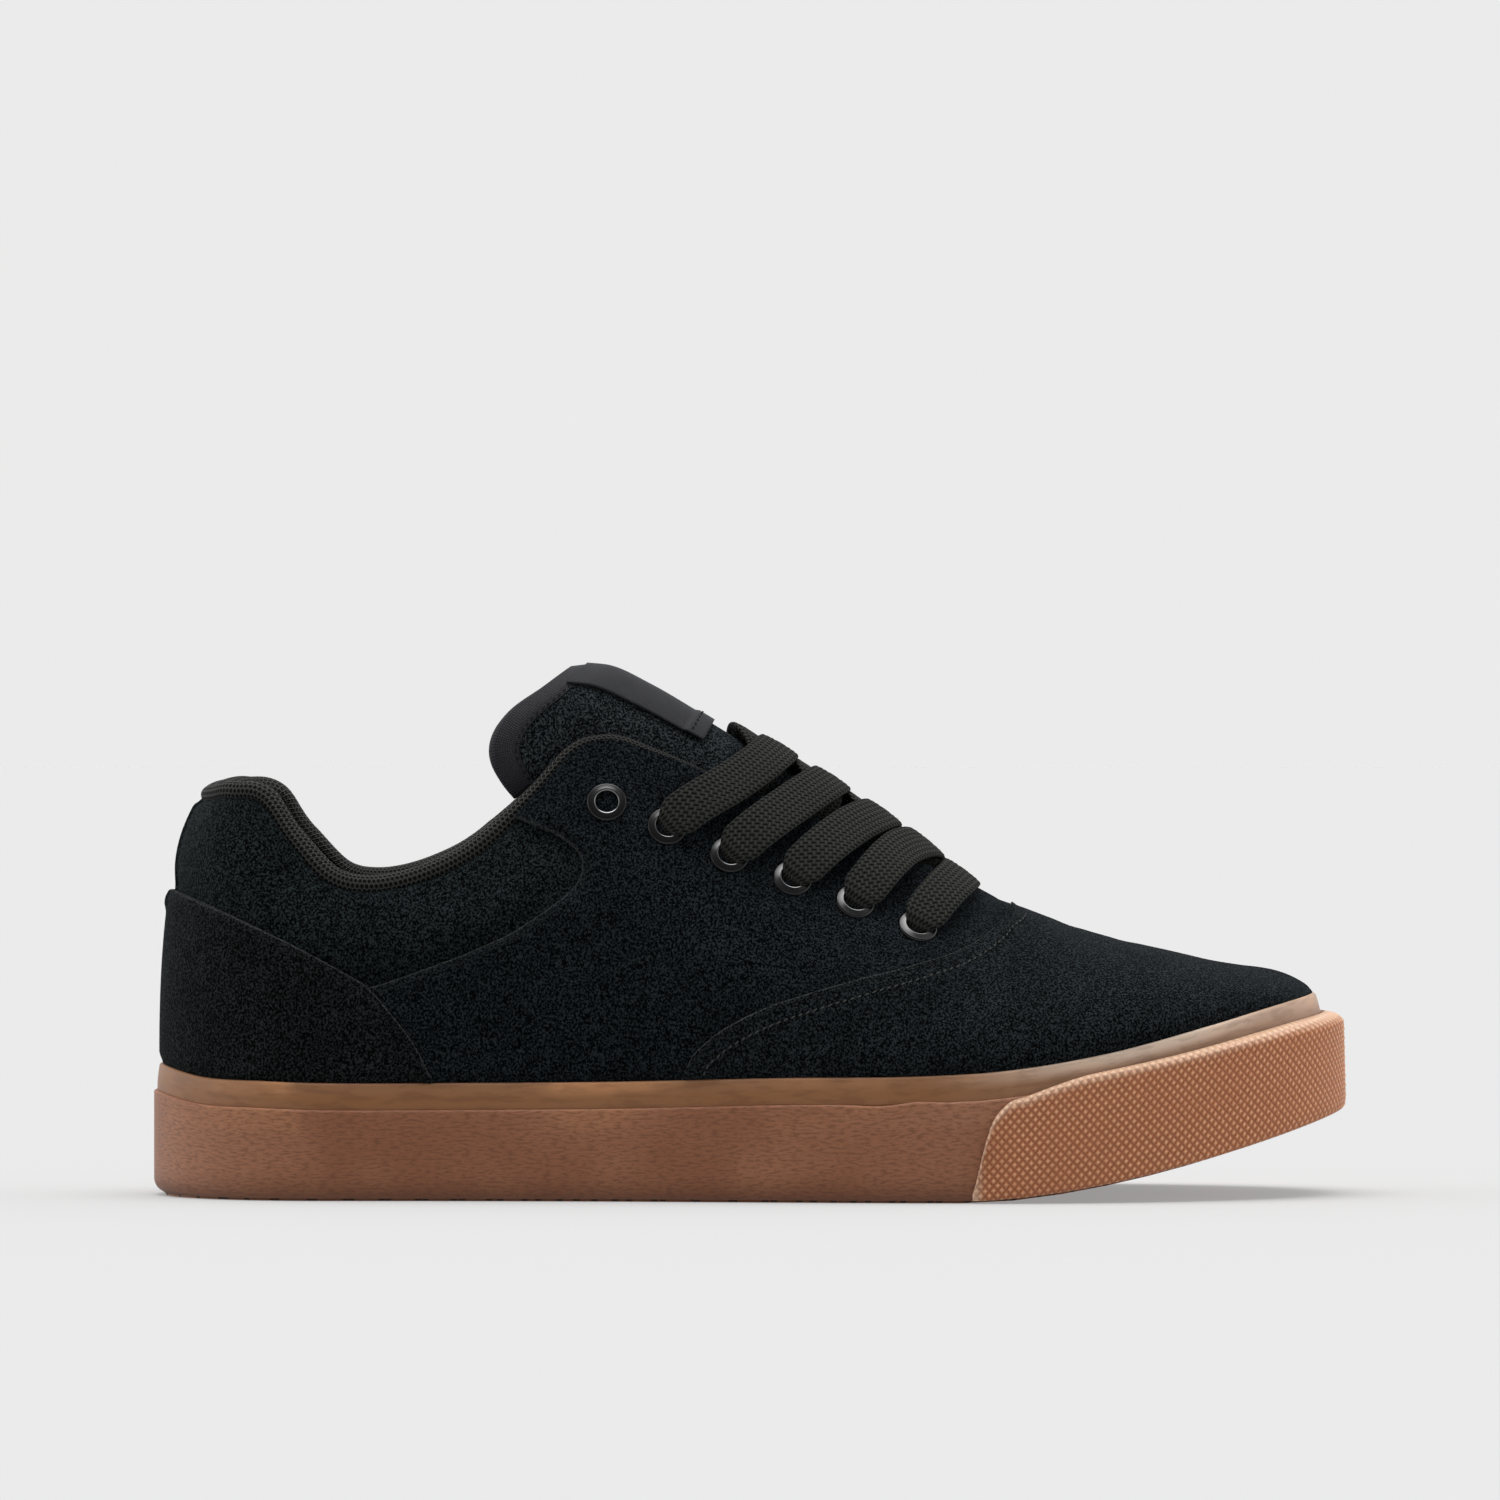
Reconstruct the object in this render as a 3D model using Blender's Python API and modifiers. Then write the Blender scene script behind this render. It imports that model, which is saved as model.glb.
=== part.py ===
"""A low skate sneaker for the right foot: a suede upper on a flat vulcanised gum sole.

X runs from the heel to the toe, +Y is the medial side, Z is up, and the sole stands on Z = 0.
Sizes are millimetres from the back of the heel until place() turns them into metres.
"""

import math

import bmesh
import bpy
import numpy as np
from mathutils import Matrix, Vector

MM = 0.001
LATERAL, MEDIAL = -1, 1
GAP = 0.3
WELD = 0.05 * MM


def table(names, *rows):
    """Rows of numbers as named columns."""
    return dict(zip(names.split(), np.array(rows, float).T))


# The whole shoe
LENGTH = 298.0
HEEL_X, TOE_X = 2.8, 293.8
HEEL_ROUND = 40.0
TOE_ROUND, TOE_POWER = 74.0, 2.2

# Sole: how far each band stands out from the line where the upper meets the sole, and its heights
STRIPE_OUT, TAPE_OUT, BUMPER_OUT = 2.0, 2.8, 4.5
SOLE_THICK = 12.0
INSOLE_THICK = 4.5
STRIPE_SHOW = 6.3
TAPE_CLEAR = 0.6
SPRING_X, SPRING_RISE, SPRING_POWER = 203.0, 21.5, 1.6
SOLE_STATIONS = 35
TAPE_ROUND, TAPE_FLANK, EDGE_ROUND = 1.6, 4.0, 0.7
BUMPER_OVER, BUMPER_TRIM, BUMPER_UPRIGHT = 1.7, 1.2, 0.85

# Upper
WALL = 2.0
COLLAR_WALL = 6.5
LIP_MIDDLE, LIP_HALF, LIP_TURN = 1.1, 0.5, 0.1
FOX_SHARE = 0.2
QUARTER_THICK, VAMP_THICK, COUNTER_THICK = 0.9, 1.2, 1.1

# Plan of the line where the upper meets the sole: half widths each side of a middle line
FEATHER = table(
    "x middle lateral medial",
    (2.8, 0.0, 36.0, 36.0),
    (40.0, 0.0, 36.8, 36.4),
    (80.0, 0.0, 37.6, 35.0),
    (115.0, 0.2, 40.4, 33.0),
    (150.0, 0.6, 45.2, 35.6),
    (185.0, 1.2, 49.8, 43.2),
    (212.0, 2.2, 51.2, 48.4),
    (240.0, 4.0, 50.0, 49.6),
    (268.0, 5.6, 48.2, 48.0),
    (293.8, 6.4, 47.0, 47.0),
)

# The foxing: its height over the tread, and how far it leans in by its top edge
FOXING = table(
    "x top lean",
    (2.8, 32.9, 0.0),
    (12.0, 30.5, 0.0),
    (30.0, 29.4, 0.0),
    (80.0, 29.1, 0.2),
    (112.0, 29.4, 0.3),
    (160.0, 30.6, 0.4),
    (186.0, 30.9, 0.5),
    (211.0, 31.9, 0.8),
    (236.0, 32.2, 1.5),
    (262.0, 32.3, 2.8),
    (284.0, 31.0, 4.2),
    (293.8, 29.6, 4.9),
)

# Ribs of the upper from the foxing to its top edge. foot is X on the feather line. The top edge runs round
# the collar, down the facing to the vamp point at the throat, then along the ridge of the toe.
# bulge and low place the lower handle out from and above the foxing; tilt (degrees from vertical) and
# reach place the upper handle.
RIBS = table(
    "foot x gap z bulge low tilt reach",
    (2.8, 11.6, 0.0, 98.6, 0.2, 24.0, 26.0, 17.0),
    (8.0, 14.4, 11.5, 99.3, 0.3, 24.0, 24.0, 17.0),
    (18.0, 20.5, 20.0, 99.9, 0.4, 23.0, 22.0, 17.0),
    (28.0, 28.4, 24.0, 98.2, 0.6, 22.0, 20.0, 17.0),
    (38.0, 35.6, 27.2, 88.2, 0.9, 20.0, 17.0, 15.0),
    (47.0, 44.4, 30.4, 79.0, 1.2, 18.0, 15.0, 14.0),
    (58.0, 55.0, 32.0, 76.4, 1.6, 17.0, 14.0, 14.0),
    (72.0, 70.0, 31.4, 79.8, 2.0, 18.0, 16.0, 16.0),
    (86.0, 84.0, 29.0, 87.8, 2.4, 21.0, 19.0, 20.0),
    (97.0, 96.0, 25.8, 99.8, 2.8, 25.0, 22.0, 26.0),
    (106.0, 106.0, 23.0, 110.8, 3.0, 27.0, 24.0, 30.0),
    (113.0, 113.0, 22.0, 113.0, 3.0, 28.0, 25.0, 31.0),
    (125.0, 125.0, 21.2, 109.8, 3.0, 28.0, 27.0, 31.0),
    (150.0, 150.0, 19.4, 99.8, 2.6, 26.0, 32.0, 30.0),
    (176.0, 176.0, 16.6, 88.6, 2.0, 21.0, 40.0, 28.0),
    (194.0, 194.0, 13.0, 80.8, 1.6, 18.0, 50.0, 27.0),
    (204.0, 203.5, 8.8, 76.4, 1.4, 16.0, 62.0, 26.0),
    (210.0, 208.8, 4.2, 73.4, 1.2, 15.0, 76.0, 26.0),
    (215.0, 210.6, 0.0, 72.2, 1.2, 14.5, 86.0, 26.0),
    (235.0, 231.0, 0.0, 64.8, 1.0, 12.0, 88.0, 28.0),
    (255.0, 247.0, 0.0, 60.6, 0.8, 9.0, 88.0, 25.0),
    (272.0, 259.0, 0.0, 58.3, 0.6, 5.5, 88.0, 20.0),
    (285.0, 266.5, 0.0, 57.1, 0.0, 1.8, 87.0, 14.0),
    (293.8, 270.0, 0.0, 56.4, -0.6, 0.3, 86.0, 11.5),
)

BINDING_X = 135.0

# Seams of the side pattern, seen from the side
VAMP_SEAM = table(
    "x z",
    (131.4, 28.0),
    (134.2, 34.8),
    (138.6, 39.6),
    (145.6, 44.2),
    (153.0, 47.6),
    (162.0, 50.5),
    (175.0, 53.9),
    (190.0, 57.5),
    (199.0, 60.1),
    (205.5, 63.2),
    (210.0, 66.6),
    (212.8, 70.0),
    (214.0, 74.0),
    (214.4, 90.0),
)
COUNTER_SEAM = table(
    "x z",
    (-6.0, 79.4),
    (3.2, 76.8),
    (11.2, 74.0),
    (26.0, 67.7),
    (38.8, 61.5),
    (48.8, 56.1),
    (54.2, 52.9),
    (61.2, 45.2),
    (67.5, 36.4),
    (72.0, 27.0),
)
QUARTER_HOOK = table(
    "z x",
    (52.0, 55.4),
    (57.2, 72.5),
    (61.0, 84.0),
    (65.0, 91.6),
    (69.0, 97.3),
    (76.4, 104.7),
    (82.5, 108.5),
    (85.6, 109.1),
    (88.0, 107.4),
    (90.0, 103.4),
    (92.0, 98.0),
    (94.5, 89.5),
    (101.0, 66.0),
)

# Eyelets on each facing, from the top row down
EYELETS = table(
    "x z",
    (113.4, 97.5),
    (128.2, 91.5),
    (143.5, 84.4),
    (159.0, 78.5),
    (174.4, 72.6),
    (189.8, 66.4),
)
EYELET_OUT, EYELET_HOLE, EYELET_BARREL, EYELET_DOME = 4.9, 2.8, 3.2, 1.1
EYELET_STEPS, DRILL_STEPS = 8, 6
DRILL_CLEAR, DRILL_DEPTH = 0.85, 12.0

# Tongue: sections across it from its top to its end under the vamp
TONGUE = table(
    "x ridge half arch thick swept",
    (108.0, 131.9, 18.8, 25.0, 5.4, 1.0),
    (114.0, 131.2, 18.8, 25.0, 6.0, 0.95),
    (124.0, 126.6, 18.8, 25.0, 6.0, 0.8),
    (136.0, 119.6, 18.8, 25.0, 5.5, 0.6),
    (150.0, 111.0, 18.6, 25.0, 4.5, 0.4),
    (166.0, 101.4, 18.0, 24.0, 3.6, 0.2),
    (184.0, 89.4, 17.0, 23.0, 3.0, 0.1),
    (197.0, 79.6, 15.6, 20.0, 2.8, 0.0),
    (206.0, 71.6, 15.0, 16.0, 2.6, 0.0),
    (214.0, 66.6, 15.0, 14.0, 2.4, 0.0),
    (224.0, 63.0, 15.0, 12.0, 2.2, 0.0),
)
TONGUE_WRAP = 102.0
TONGUE_TOP = table(
    "drop back",
    (0.0, 0.0),
    (7.0, 7.4),
    (14.0, 15.4),
    (21.5, 18.6),
    (26.0, 16.6),
    (33.0, 11.0),
)
TONGUE_ROLL = 2.6
LABEL_X = (109.0, 140.0)
LABEL_WRAP = 36.0
LABEL_THICK = 0.6

# Lace: a flat strip. lead is how far ahead of its eyelet a strand crosses the ridge of the tongue.
LACE_WIDE, LACE_THICK = 8.6, 1.7
LACES = table(
    "row lead tuck",
    (2, 20.0, 42.0),
    (3, 18.0, 42.0),
    (4, 15.5, 38.0),
    (5, 11.0, 27.0),
    (6, 10.2, 0.0),
)
FACING_SHARE = 0.62
LACE_STATIONS = 9


def smooth(at, xs, ys):
    """One column of a table read at any place, as a smooth curve through its rows."""
    at = np.clip(at, xs[0], xs[-1])
    slopes = np.gradient(ys, xs)
    i = np.clip(np.searchsorted(xs, at, side="right") - 1, 0, len(xs) - 2)
    wide = xs[i + 1] - xs[i]
    t = (at - xs[i]) / wide
    start = ys[i] * (1 + 2 * t) * (1 - t) ** 2 + slopes[i] * wide * t * (1 - t) ** 2
    return start + ys[i + 1] * t * t * (3 - 2 * t) - slopes[i + 1] * wide * t * t * (1 - t)


def station(x):
    """Place along the feather line, 0 at the heel and 1 at the toe, close together at the rounded ends."""
    share = np.clip((np.asarray(x, float) - HEEL_X) / (TOE_X - HEEL_X), 0, 1)
    return np.arccos(1 - 2 * share) / math.pi


def foot_x(q):
    return HEEL_X + (TOE_X - HEEL_X) * (1 - np.cos(math.pi * q)) / 2


def middle(x):
    return smooth(x, FEATHER["x"], FEATHER["middle"])


def feather(side, q):
    """Plan position on the feather line."""
    x = foot_x(q)
    half = smooth(x, FEATHER["x"], FEATHER["lateral" if side == LATERAL else "medial"])
    heel = np.clip((HEEL_X + HEEL_ROUND - x) / HEEL_ROUND, 0, 1)
    toe = np.clip((x - TOE_X + TOE_ROUND) / TOE_ROUND, 0, 1)
    half = half * np.sqrt(1 - heel**2) * (1 - toe**TOE_POWER) ** (1 / TOE_POWER)
    return np.array([x, middle(x) + side * half])


def outward(side, q):
    """Plan direction out of the shoe at the feather line."""
    if q <= 0:
        return np.array([-1.0, 0.0])
    if q >= 1:
        return np.array([1.0, 0.0])
    run = feather(side, min(q + 0.002, 1)) - feather(side, max(q - 0.002, 0))
    run = run / np.linalg.norm(run)
    return np.array([-run[1], run[0]]) * side


def tread(x):
    """Height of the underside of the sole."""
    return SPRING_RISE * max((x - SPRING_X) / (LENGTH - 2 - SPRING_X), 0) ** SPRING_POWER


def foxing_top(x):
    return tread(x) + smooth(x, FOXING["x"], FOXING["top"])


def tape_top(x):
    return foxing_top(x) - STRIPE_SHOW


def wall_point(side, q, z, out):
    """A point of the foxing or of the upper behind it, at height z and standing out from the feather line."""
    x = foot_x(q)
    high = np.clip((z - tread(x)) / (foxing_top(x) - tread(x)), 0, 1)
    out = out - smooth(x, FOXING["x"], FOXING["lean"]) * high
    return np.append(feather(side, q) + outward(side, q) * out, z)


def rib(side, q):
    """The four control points of a rib of the upper, from the foxing to the top edge."""
    foot = station(RIBS["foot"])
    x, gap, z, bulge, low, tilt, reach = (
        float(smooth(q, foot, RIBS[name])) for name in ("x", "gap", "z", "bulge", "low", "tilt", "reach")
    )
    start = wall_point(side, q, foxing_top(foot_x(q)), 0)
    end = np.array([x, middle(x) + side * max(gap, 0), z])
    along = start[:2] - end[:2]
    along = along / np.linalg.norm(along)
    tilt = math.radians(tilt)
    lower = start + np.append(outward(side, q) * bulge, low)
    upper = end + np.append(along * reach * math.sin(tilt), -reach * math.cos(tilt))
    return start, lower, upper, end


def upper_point(side, q, up):
    """The outer face of the upper: up is 0 on the sole, FOX_SHARE at the foxing and 1 on the top edge."""
    if up < FOX_SHARE:
        x = foot_x(q)
        low = tread(x) + SOLE_THICK + GAP
        return wall_point(side, q, low + (foxing_top(x) - low) * up / FOX_SHARE, 0)
    t = (up - FOX_SHARE) / (1 - FOX_SHARE)
    a, b, c, d = rib(side, q)
    return a * (1 - t) ** 3 + b * 3 * t * (1 - t) ** 2 + c * 3 * t * t * (1 - t) + d * t**3


def upper_normal(side, q, up):
    """Direction out of the upper."""
    step = 0.004
    here, there = max(q - step, 0), min(q + step, 1)
    along = upper_point(side, there, up) - upper_point(side, here, up)
    if q <= 0:
        along = np.array([0.0, side, 0.0])
    if q >= 1:
        along = np.array([0.0, -side, 0.0])
    rise = upper_point(side, q, min(up + step, 1)) - upper_point(side, q, max(up - step, 0))
    out = np.cross(rise, along) * side
    return out / np.linalg.norm(out)


def upper_offset(side, q, up, out):
    return upper_point(side, q, up) + upper_normal(side, q, up) * out


def up_at(side, q, z):
    """Where a rib reaches a height."""
    ups = np.linspace(FOX_SHARE, 1, 80)
    heights = [upper_point(side, q, up)[2] for up in ups]
    return float(np.interp(z, heights, ups))


def tongue_point(x, angle, out):
    """A point over the tongue: x along its ridge, angle round its arch from the ridge."""
    ridge, half, arch, swept = (
        float(smooth(x, TONGUE["x"], TONGUE[name])) for name in ("ridge", "half", "arch", "swept")
    )
    turn = math.radians(angle)
    drop = arch * (1 - math.cos(turn))
    back = swept * float(smooth(drop, TONGUE_TOP["drop"], TONGUE_TOP["back"]))
    side = math.sin(turn) * (half + out)
    return np.array([x - back, middle(x) + side, ridge - drop + out * math.cos(turn)])


def plan_middle():
    """Y half way between the widest points of the sole."""
    qs = np.linspace(0.3, 0.95, 200)
    wide = [[wall_point(side, q, tread(foot_x(q)), BUMPER_OUT)[1] for q in qs] for side in (LATERAL, MEDIAL)]
    return (min(wide[0]) + max(wide[1])) / 2


PLAN_MIDDLE = plan_middle()


def place(point):
    """Millimetres from the heel to metres from the middle of the shoe."""
    x, y, z = point
    return Vector(((x - LENGTH / 2) * MM, (y - PLAN_MIDDLE) * MM, z * MM))


def collection(name, helper=False):
    made = bpy.data.collections.new(name)
    made.hide_render = helper
    bpy.context.scene.collection.children.link(made)
    return made


for old in list(bpy.data.objects):
    bpy.data.objects.remove(old, do_unlink=True)
SHOE = collection("sneaker")
CUTTERS = collection("cutters", helper=True)


def material(name, colour, roughness, metallic=0.0):
    made = bpy.data.materials.new(name)
    made.use_nodes = True
    shader = made.node_tree.nodes["Principled BSDF"]
    shader.inputs["Base Color"].default_value = (*colour, 1)
    shader.inputs["Roughness"].default_value = roughness
    shader.inputs["Metallic"].default_value = metallic
    return made


SUEDE = material("black_suede", (0.012, 0.014, 0.016), 0.9)
KNIT = material("black_knit", (0.012, 0.012, 0.012), 0.85)
TAPE_CLOTH = material("grey_edge_tape", (0.036, 0.036, 0.041), 0.7)
LACE_COTTON = material("black_lace", (0.02, 0.021, 0.021), 0.8)
ENAMEL = material("black_enamel", (0.01, 0.01, 0.011), 0.2)
GUM = material("gum_rubber", (0.2, 0.1, 0.055), 0.5)
PALE_GUM = material("pale_gum_rubber", (0.36, 0.27, 0.2), 0.45)
FOAM = material("black_sock_liner", (0.02, 0.02, 0.02), 0.9)


def add(name, bm, look, helper=False):
    bmesh.ops.recalc_face_normals(bm, faces=bm.faces)
    mesh = bpy.data.meshes.new(name)
    bm.to_mesh(mesh)
    bm.free()
    mesh.materials.append(look)
    made = bpy.data.objects.new(name, mesh)
    (CUTTERS if helper else SHOE).objects.link(made)
    if helper:
        made.hide_render = True
        made.display_type = "WIRE"
    return made


def bent_grid(columns, rows, point, weight=None):
    """A grid of faces bent so that each corner lies where point says, welded where corners meet."""
    bm = bmesh.new()
    bmesh.ops.create_grid(bm, x_segments=len(columns) - 1, y_segments=len(rows) - 1, size=1)
    deform = bm.verts.layers.deform.verify()
    for vert in bm.verts:
        column = columns[round((vert.co.x + 1) / 2 * (len(columns) - 1))]
        row = rows[round((vert.co.y + 1) / 2 * (len(rows) - 1))]
        vert.co = place(point(column, row))
        if weight:
            vert[deform][0] = weight(column, row)
    bmesh.ops.remove_doubles(bm, verts=bm.verts, dist=WELD)
    bmesh.ops.dissolve_degenerate(bm, edges=bm.edges, dist=WELD)
    bmesh.ops.triangulate(bm, faces=bm.faces, quad_method="FIXED")
    return bm


def loft(name, sections, look, closed=False, helper=False):
    """A solid through closed sections of equal point counts, joined end to end or capped."""
    ring = [*sections, sections[0]] if closed else sections
    count = len(sections[0])
    bm = bent_grid(range(len(ring)), range(count + 1), lambda c, r: ring[c][r % count])
    if not closed:
        bmesh.ops.holes_fill(bm, edges=[edge for edge in bm.edges if edge.is_boundary])
    return add(name, bm, look, helper)


def shell(name, columns, rows, point, thick, look, side=1, weight=None, least=1.0):
    """An open surface given a wall on one side; weight swells the wall from its least share."""
    made = add(name, bent_grid(columns, rows, point, weight), look)
    solidify = made.modifiers.new("wall", "SOLIDIFY")
    solidify.thickness = thick * MM
    solidify.offset = side
    if weight:
        made.vertex_groups.new(name="swell")
        solidify.vertex_group = "swell"
        solidify.thickness_vertex_group = least
    return made


def prism(name, outline, y_from, y_to):
    """A cutter: an outline seen from the side, drawn out across the shoe."""
    bm = bmesh.new()
    face = bm.faces.new([bm.verts.new(place((x, y_from, z))) for x, z in outline])
    drawn = bmesh.ops.extrude_face_region(bm, geom=[face])
    across = Vector((0, (y_to - y_from) * MM, 0))
    bmesh.ops.translate(
        bm, vec=across, verts=[item for item in drawn["geom"] if isinstance(item, bmesh.types.BMVert)]
    )
    return add(name, bm, SUEDE, helper=True)


def boolean(target, tool, operation):
    made = target.modifiers.new(tool.name, "BOOLEAN")
    made.object = tool
    made.operation = operation
    made.solver = "EXACT"


def girth(count):
    """(side, q) once round the shoe: lateral heel to toe, then medial toe to heel."""
    qs = np.linspace(0, 1, count)
    return [(LATERAL, q) for q in qs] + [(MEDIAL, q) for q in qs[-2:0:-1]]


# Sole
def outsole():
    sections = []
    for q in np.linspace(0, 1, SOLE_STATIONS):
        x = foot_x(q)
        low, high = tread(x), tread(x) + SOLE_THICK
        corners = ((LATERAL, low), (MEDIAL, low), (MEDIAL, high), (LATERAL, high))
        sections.append([wall_point(side, q, z, 0) for side, z in corners])
    bm = bent_grid(range(len(sections)), range(5), lambda c, r: sections[c][r % 4])
    return add("outsole", bm, GUM)


def band(name, ring, profile, look, closed=True):
    """A strip of rubber round the foxing; profile gives (out, z) pairs at each place."""
    sections = []
    for side, q in ring:
        sections.append([wall_point(side, q, z, out) for out, z in profile(foot_x(q))])
    return loft(name, sections, look, closed)


def tape_profile(x):
    low, high = tread(x) + TAPE_CLEAR, tape_top(x) - GAP
    return [
        (GAP, low),
        (TAPE_OUT - TAPE_ROUND, low),
        (TAPE_OUT - TAPE_ROUND / 4, low + TAPE_ROUND),
        (TAPE_OUT, low + TAPE_FLANK),
        (TAPE_OUT, high - EDGE_ROUND),
        (TAPE_OUT - EDGE_ROUND, high),
        (GAP, high),
    ]


def stripe_profile(x):
    low, high = tape_top(x), foxing_top(x)
    return [
        (GAP, low),
        (STRIPE_OUT, low),
        (STRIPE_OUT, high - EDGE_ROUND),
        (STRIPE_OUT - EDGE_ROUND, high),
        (GAP, high),
    ]


BUMPER_EDGE = table(
    "x z",
    (203.0, 1.6),
    (204.0, 5.0),
    (205.5, 11.5),
    (207.5, 18.5),
    (211.2, 24.0),
    (216.3, 26.2),
    (226.0, 29.2),
    (236.0, 32.1),
)


def bumper_profile(x):
    low = tread(x) + TAPE_CLEAR
    high = tape_top(x) + BUMPER_OVER
    if x < BUMPER_EDGE["x"][-1]:
        high = min(high, float(smooth(x, BUMPER_EDGE["x"], BUMPER_EDGE["z"])))
    inner = TAPE_OUT + GAP
    trim = min(BUMPER_TRIM, (high - low) / 3)
    lean = smooth(x, FOXING["x"], FOXING["lean"]) * (high - tread(x)) / (foxing_top(x) - tread(x))
    upright = lean * BUMPER_UPRIGHT
    return [
        (inner, low + trim),
        (BUMPER_OUT - trim / 2, low + trim / 2),
        (BUMPER_OUT, low + trim * 1.5),
        (BUMPER_OUT + upright, high - trim),
        (BUMPER_OUT + upright - trim / 2, high),
        (inner, high),
    ]


def bumper_ring():
    early = station(BUMPER_EDGE["x"])
    qs = [*early, *np.linspace(early[-1], 1, 13)[1:]]
    lateral = [(LATERAL, q) for q in qs]
    return lateral + [(MEDIAL, q) for q in qs[::-1]][1:]


def insole():
    """Follows the inside of the wall and lies on the sole."""
    sections = []
    inset = -WALL - 3 * GAP
    for q in np.linspace(0.03, 0.975, 32):
        low = tread(foot_x(q)) + SOLE_THICK + GAP
        high = low + INSOLE_THICK
        corners = ((LATERAL, low), (MEDIAL, low), (MEDIAL, high), (LATERAL, high))
        sections.append([wall_point(side, q, z, inset) for side, z in corners])
    return loft("insole", sections, FOAM)


outsole()
RING = girth(SOLE_STATIONS)
band("foxing_tape", RING, tape_profile, GUM)
band("foxing_stripe", RING, stripe_profile, PALE_GUM)
band("toe_bumper", bumper_ring(), bumper_profile, GUM, closed=False)
insole()


# Upper
BENDS = station([33, 106, 113, 120, 134, 161, 204, 209, 215])
COLUMNS = np.unique(np.concatenate([np.linspace(0, 1, 19), BENDS]))
AROUND = [(LATERAL, q) for q in COLUMNS[::-1]] + [(MEDIAL, q) for q in COLUMNS[1:]]
RIB_ROWS = list(np.linspace(FOX_SHARE, 1, 8)[1:])
WALL_ROWS = [0.0, FOX_SHARE / 2, FOX_SHARE, *RIB_ROWS]


def collar_swell(place_on, up):
    """Foam in the collar: full at its edge, gone half way down and at the eyestay."""
    x = foot_x(place_on[1])
    along = np.clip((112 - x) / 24, 0, 1)
    return float(along * np.clip((up - 0.55) / 0.35, 0, 1) ** 1.5)


upper = shell(
    "upper",
    AROUND,
    WALL_ROWS,
    lambda at, up: upper_point(*at, up),
    COLLAR_WALL,
    SUEDE,
    side=-1,
    weight=collar_swell,
    least=WALL / COLLAR_WALL,
)


# Panels over the upper
PANEL_FOOT, PANEL_TOP = FOX_SHARE + 0.012, 0.993
FAR = 70.0


def panel(name, outline, thick, y_from=-FAR, y_to=FAR, top=PANEL_TOP):
    """A layer of suede: a skin all over the upper, cut to a pattern drawn in the side view."""
    rows = [PANEL_FOOT, *RIB_ROWS[:-1], top]
    made = shell(name, AROUND, rows, lambda at, up: upper_offset(*at, up, GAP), thick, SUEDE)
    boolean(made, prism(name + "_pattern", outline, y_from, y_to), "INTERSECT")
    return made


def seam(line, by, count):
    """Points (x, z) along a seam of the side pattern, spaced by one of its columns."""
    at = np.linspace(line[by][0], line[by][-1], count)
    other = "x" if by == "z" else "z"
    read = smooth(at, line[by], line[other])
    return list(zip(at, read)) if by == "x" else list(zip(read, at))


vamp_line = list(zip(VAMP_SEAM["x"], VAMP_SEAM["z"]))
counter_line = seam(COUNTER_SEAM, "x", 16)
hook_line = seam(QUARTER_HOOK, "z", 16)
vamp = panel("vamp", [*vamp_line, (LENGTH + 10, 90), (LENGTH + 10, 20), (131, 20)], VAMP_THICK, top=1)
counter = panel("heel_counter", [*counter_line, (72, 10), (-6, 10)], COUNTER_THICK)
quarter_line = [
    *((x - 0.3, z + 0.35) for x, z in reversed(vamp_line)),
    (130.6, 20),
    (73, 20),
    *((x + 0.4, z + 0.3) for x, z in reversed(counter_line) if z < 51),
    *hook_line,
    (81, 125),
    (214, 125),
]
quarters = [
    panel("quarter_lateral", quarter_line, QUARTER_THICK, y_to=-0.2),
    panel("quarter_medial", quarter_line, QUARTER_THICK, y_from=5.0),
]


# Collar binding
def edge_way(side, q):
    """Direction of the top edge, from the heel to the toe."""
    if q <= 0:
        return np.array([0.0, side, 0.0])
    way = upper_point(side, q + 0.004, 1) - upper_point(side, q - 0.004, 1)
    return way / np.linalg.norm(way)


def collar_binding():
    sections = []
    qs = [q for q in COLUMNS if foot_x(q) < BINDING_X]
    ring = [(LATERAL, q) for q in qs[::-1]] + [(MEDIAL, q) for q in qs[1:]]
    for at in ring:
        top = upper_point(*at, 1)
        out = upper_normal(*at, 0.99)
        rise = np.cross(edge_way(*at), out) * at[0]
        swell = collar_swell(at, 1)
        half = (WALL + swell * (COLLAR_WALL - WALL)) / 2
        high = 1.0 + 0.9 * swell
        lip = LIP_MIDDLE + LIP_HALF * at[0] * min(at[1] / LIP_TURN, 1)
        centre = top - out * half + rise * (high + GAP + lip * swell)
        section = []
        for turn in np.linspace(0, 2 * math.pi, 6, endpoint=False):
            section.append(centre + out * (0.8 * half * math.cos(turn) + 0.4) + rise * high * math.sin(turn))
        sections.append(section)
    return loft("collar_binding", sections, KNIT)


collar_binding()


# Eyelets
def eyelet_frame(side, row):
    """Place and axes of an eyelet: its axis points out of the upper."""
    x, z = EYELETS["x"][row], EYELETS["z"][row]
    q = float(station(x))
    up = up_at(side, q, z)
    out = upper_normal(side, q, up)
    along = np.cross([0.0, 0.0, 1.0], out)
    along = along / np.linalg.norm(along)
    axes = np.column_stack([along, np.cross(out, along), out])
    return upper_point(side, q, up), axes


def eyelet_matrix(side, row):
    spot, axes = eyelet_frame(side, row)
    return Matrix.Translation(place(spot)) @ Matrix(axes.tolist()).to_4x4()


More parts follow.
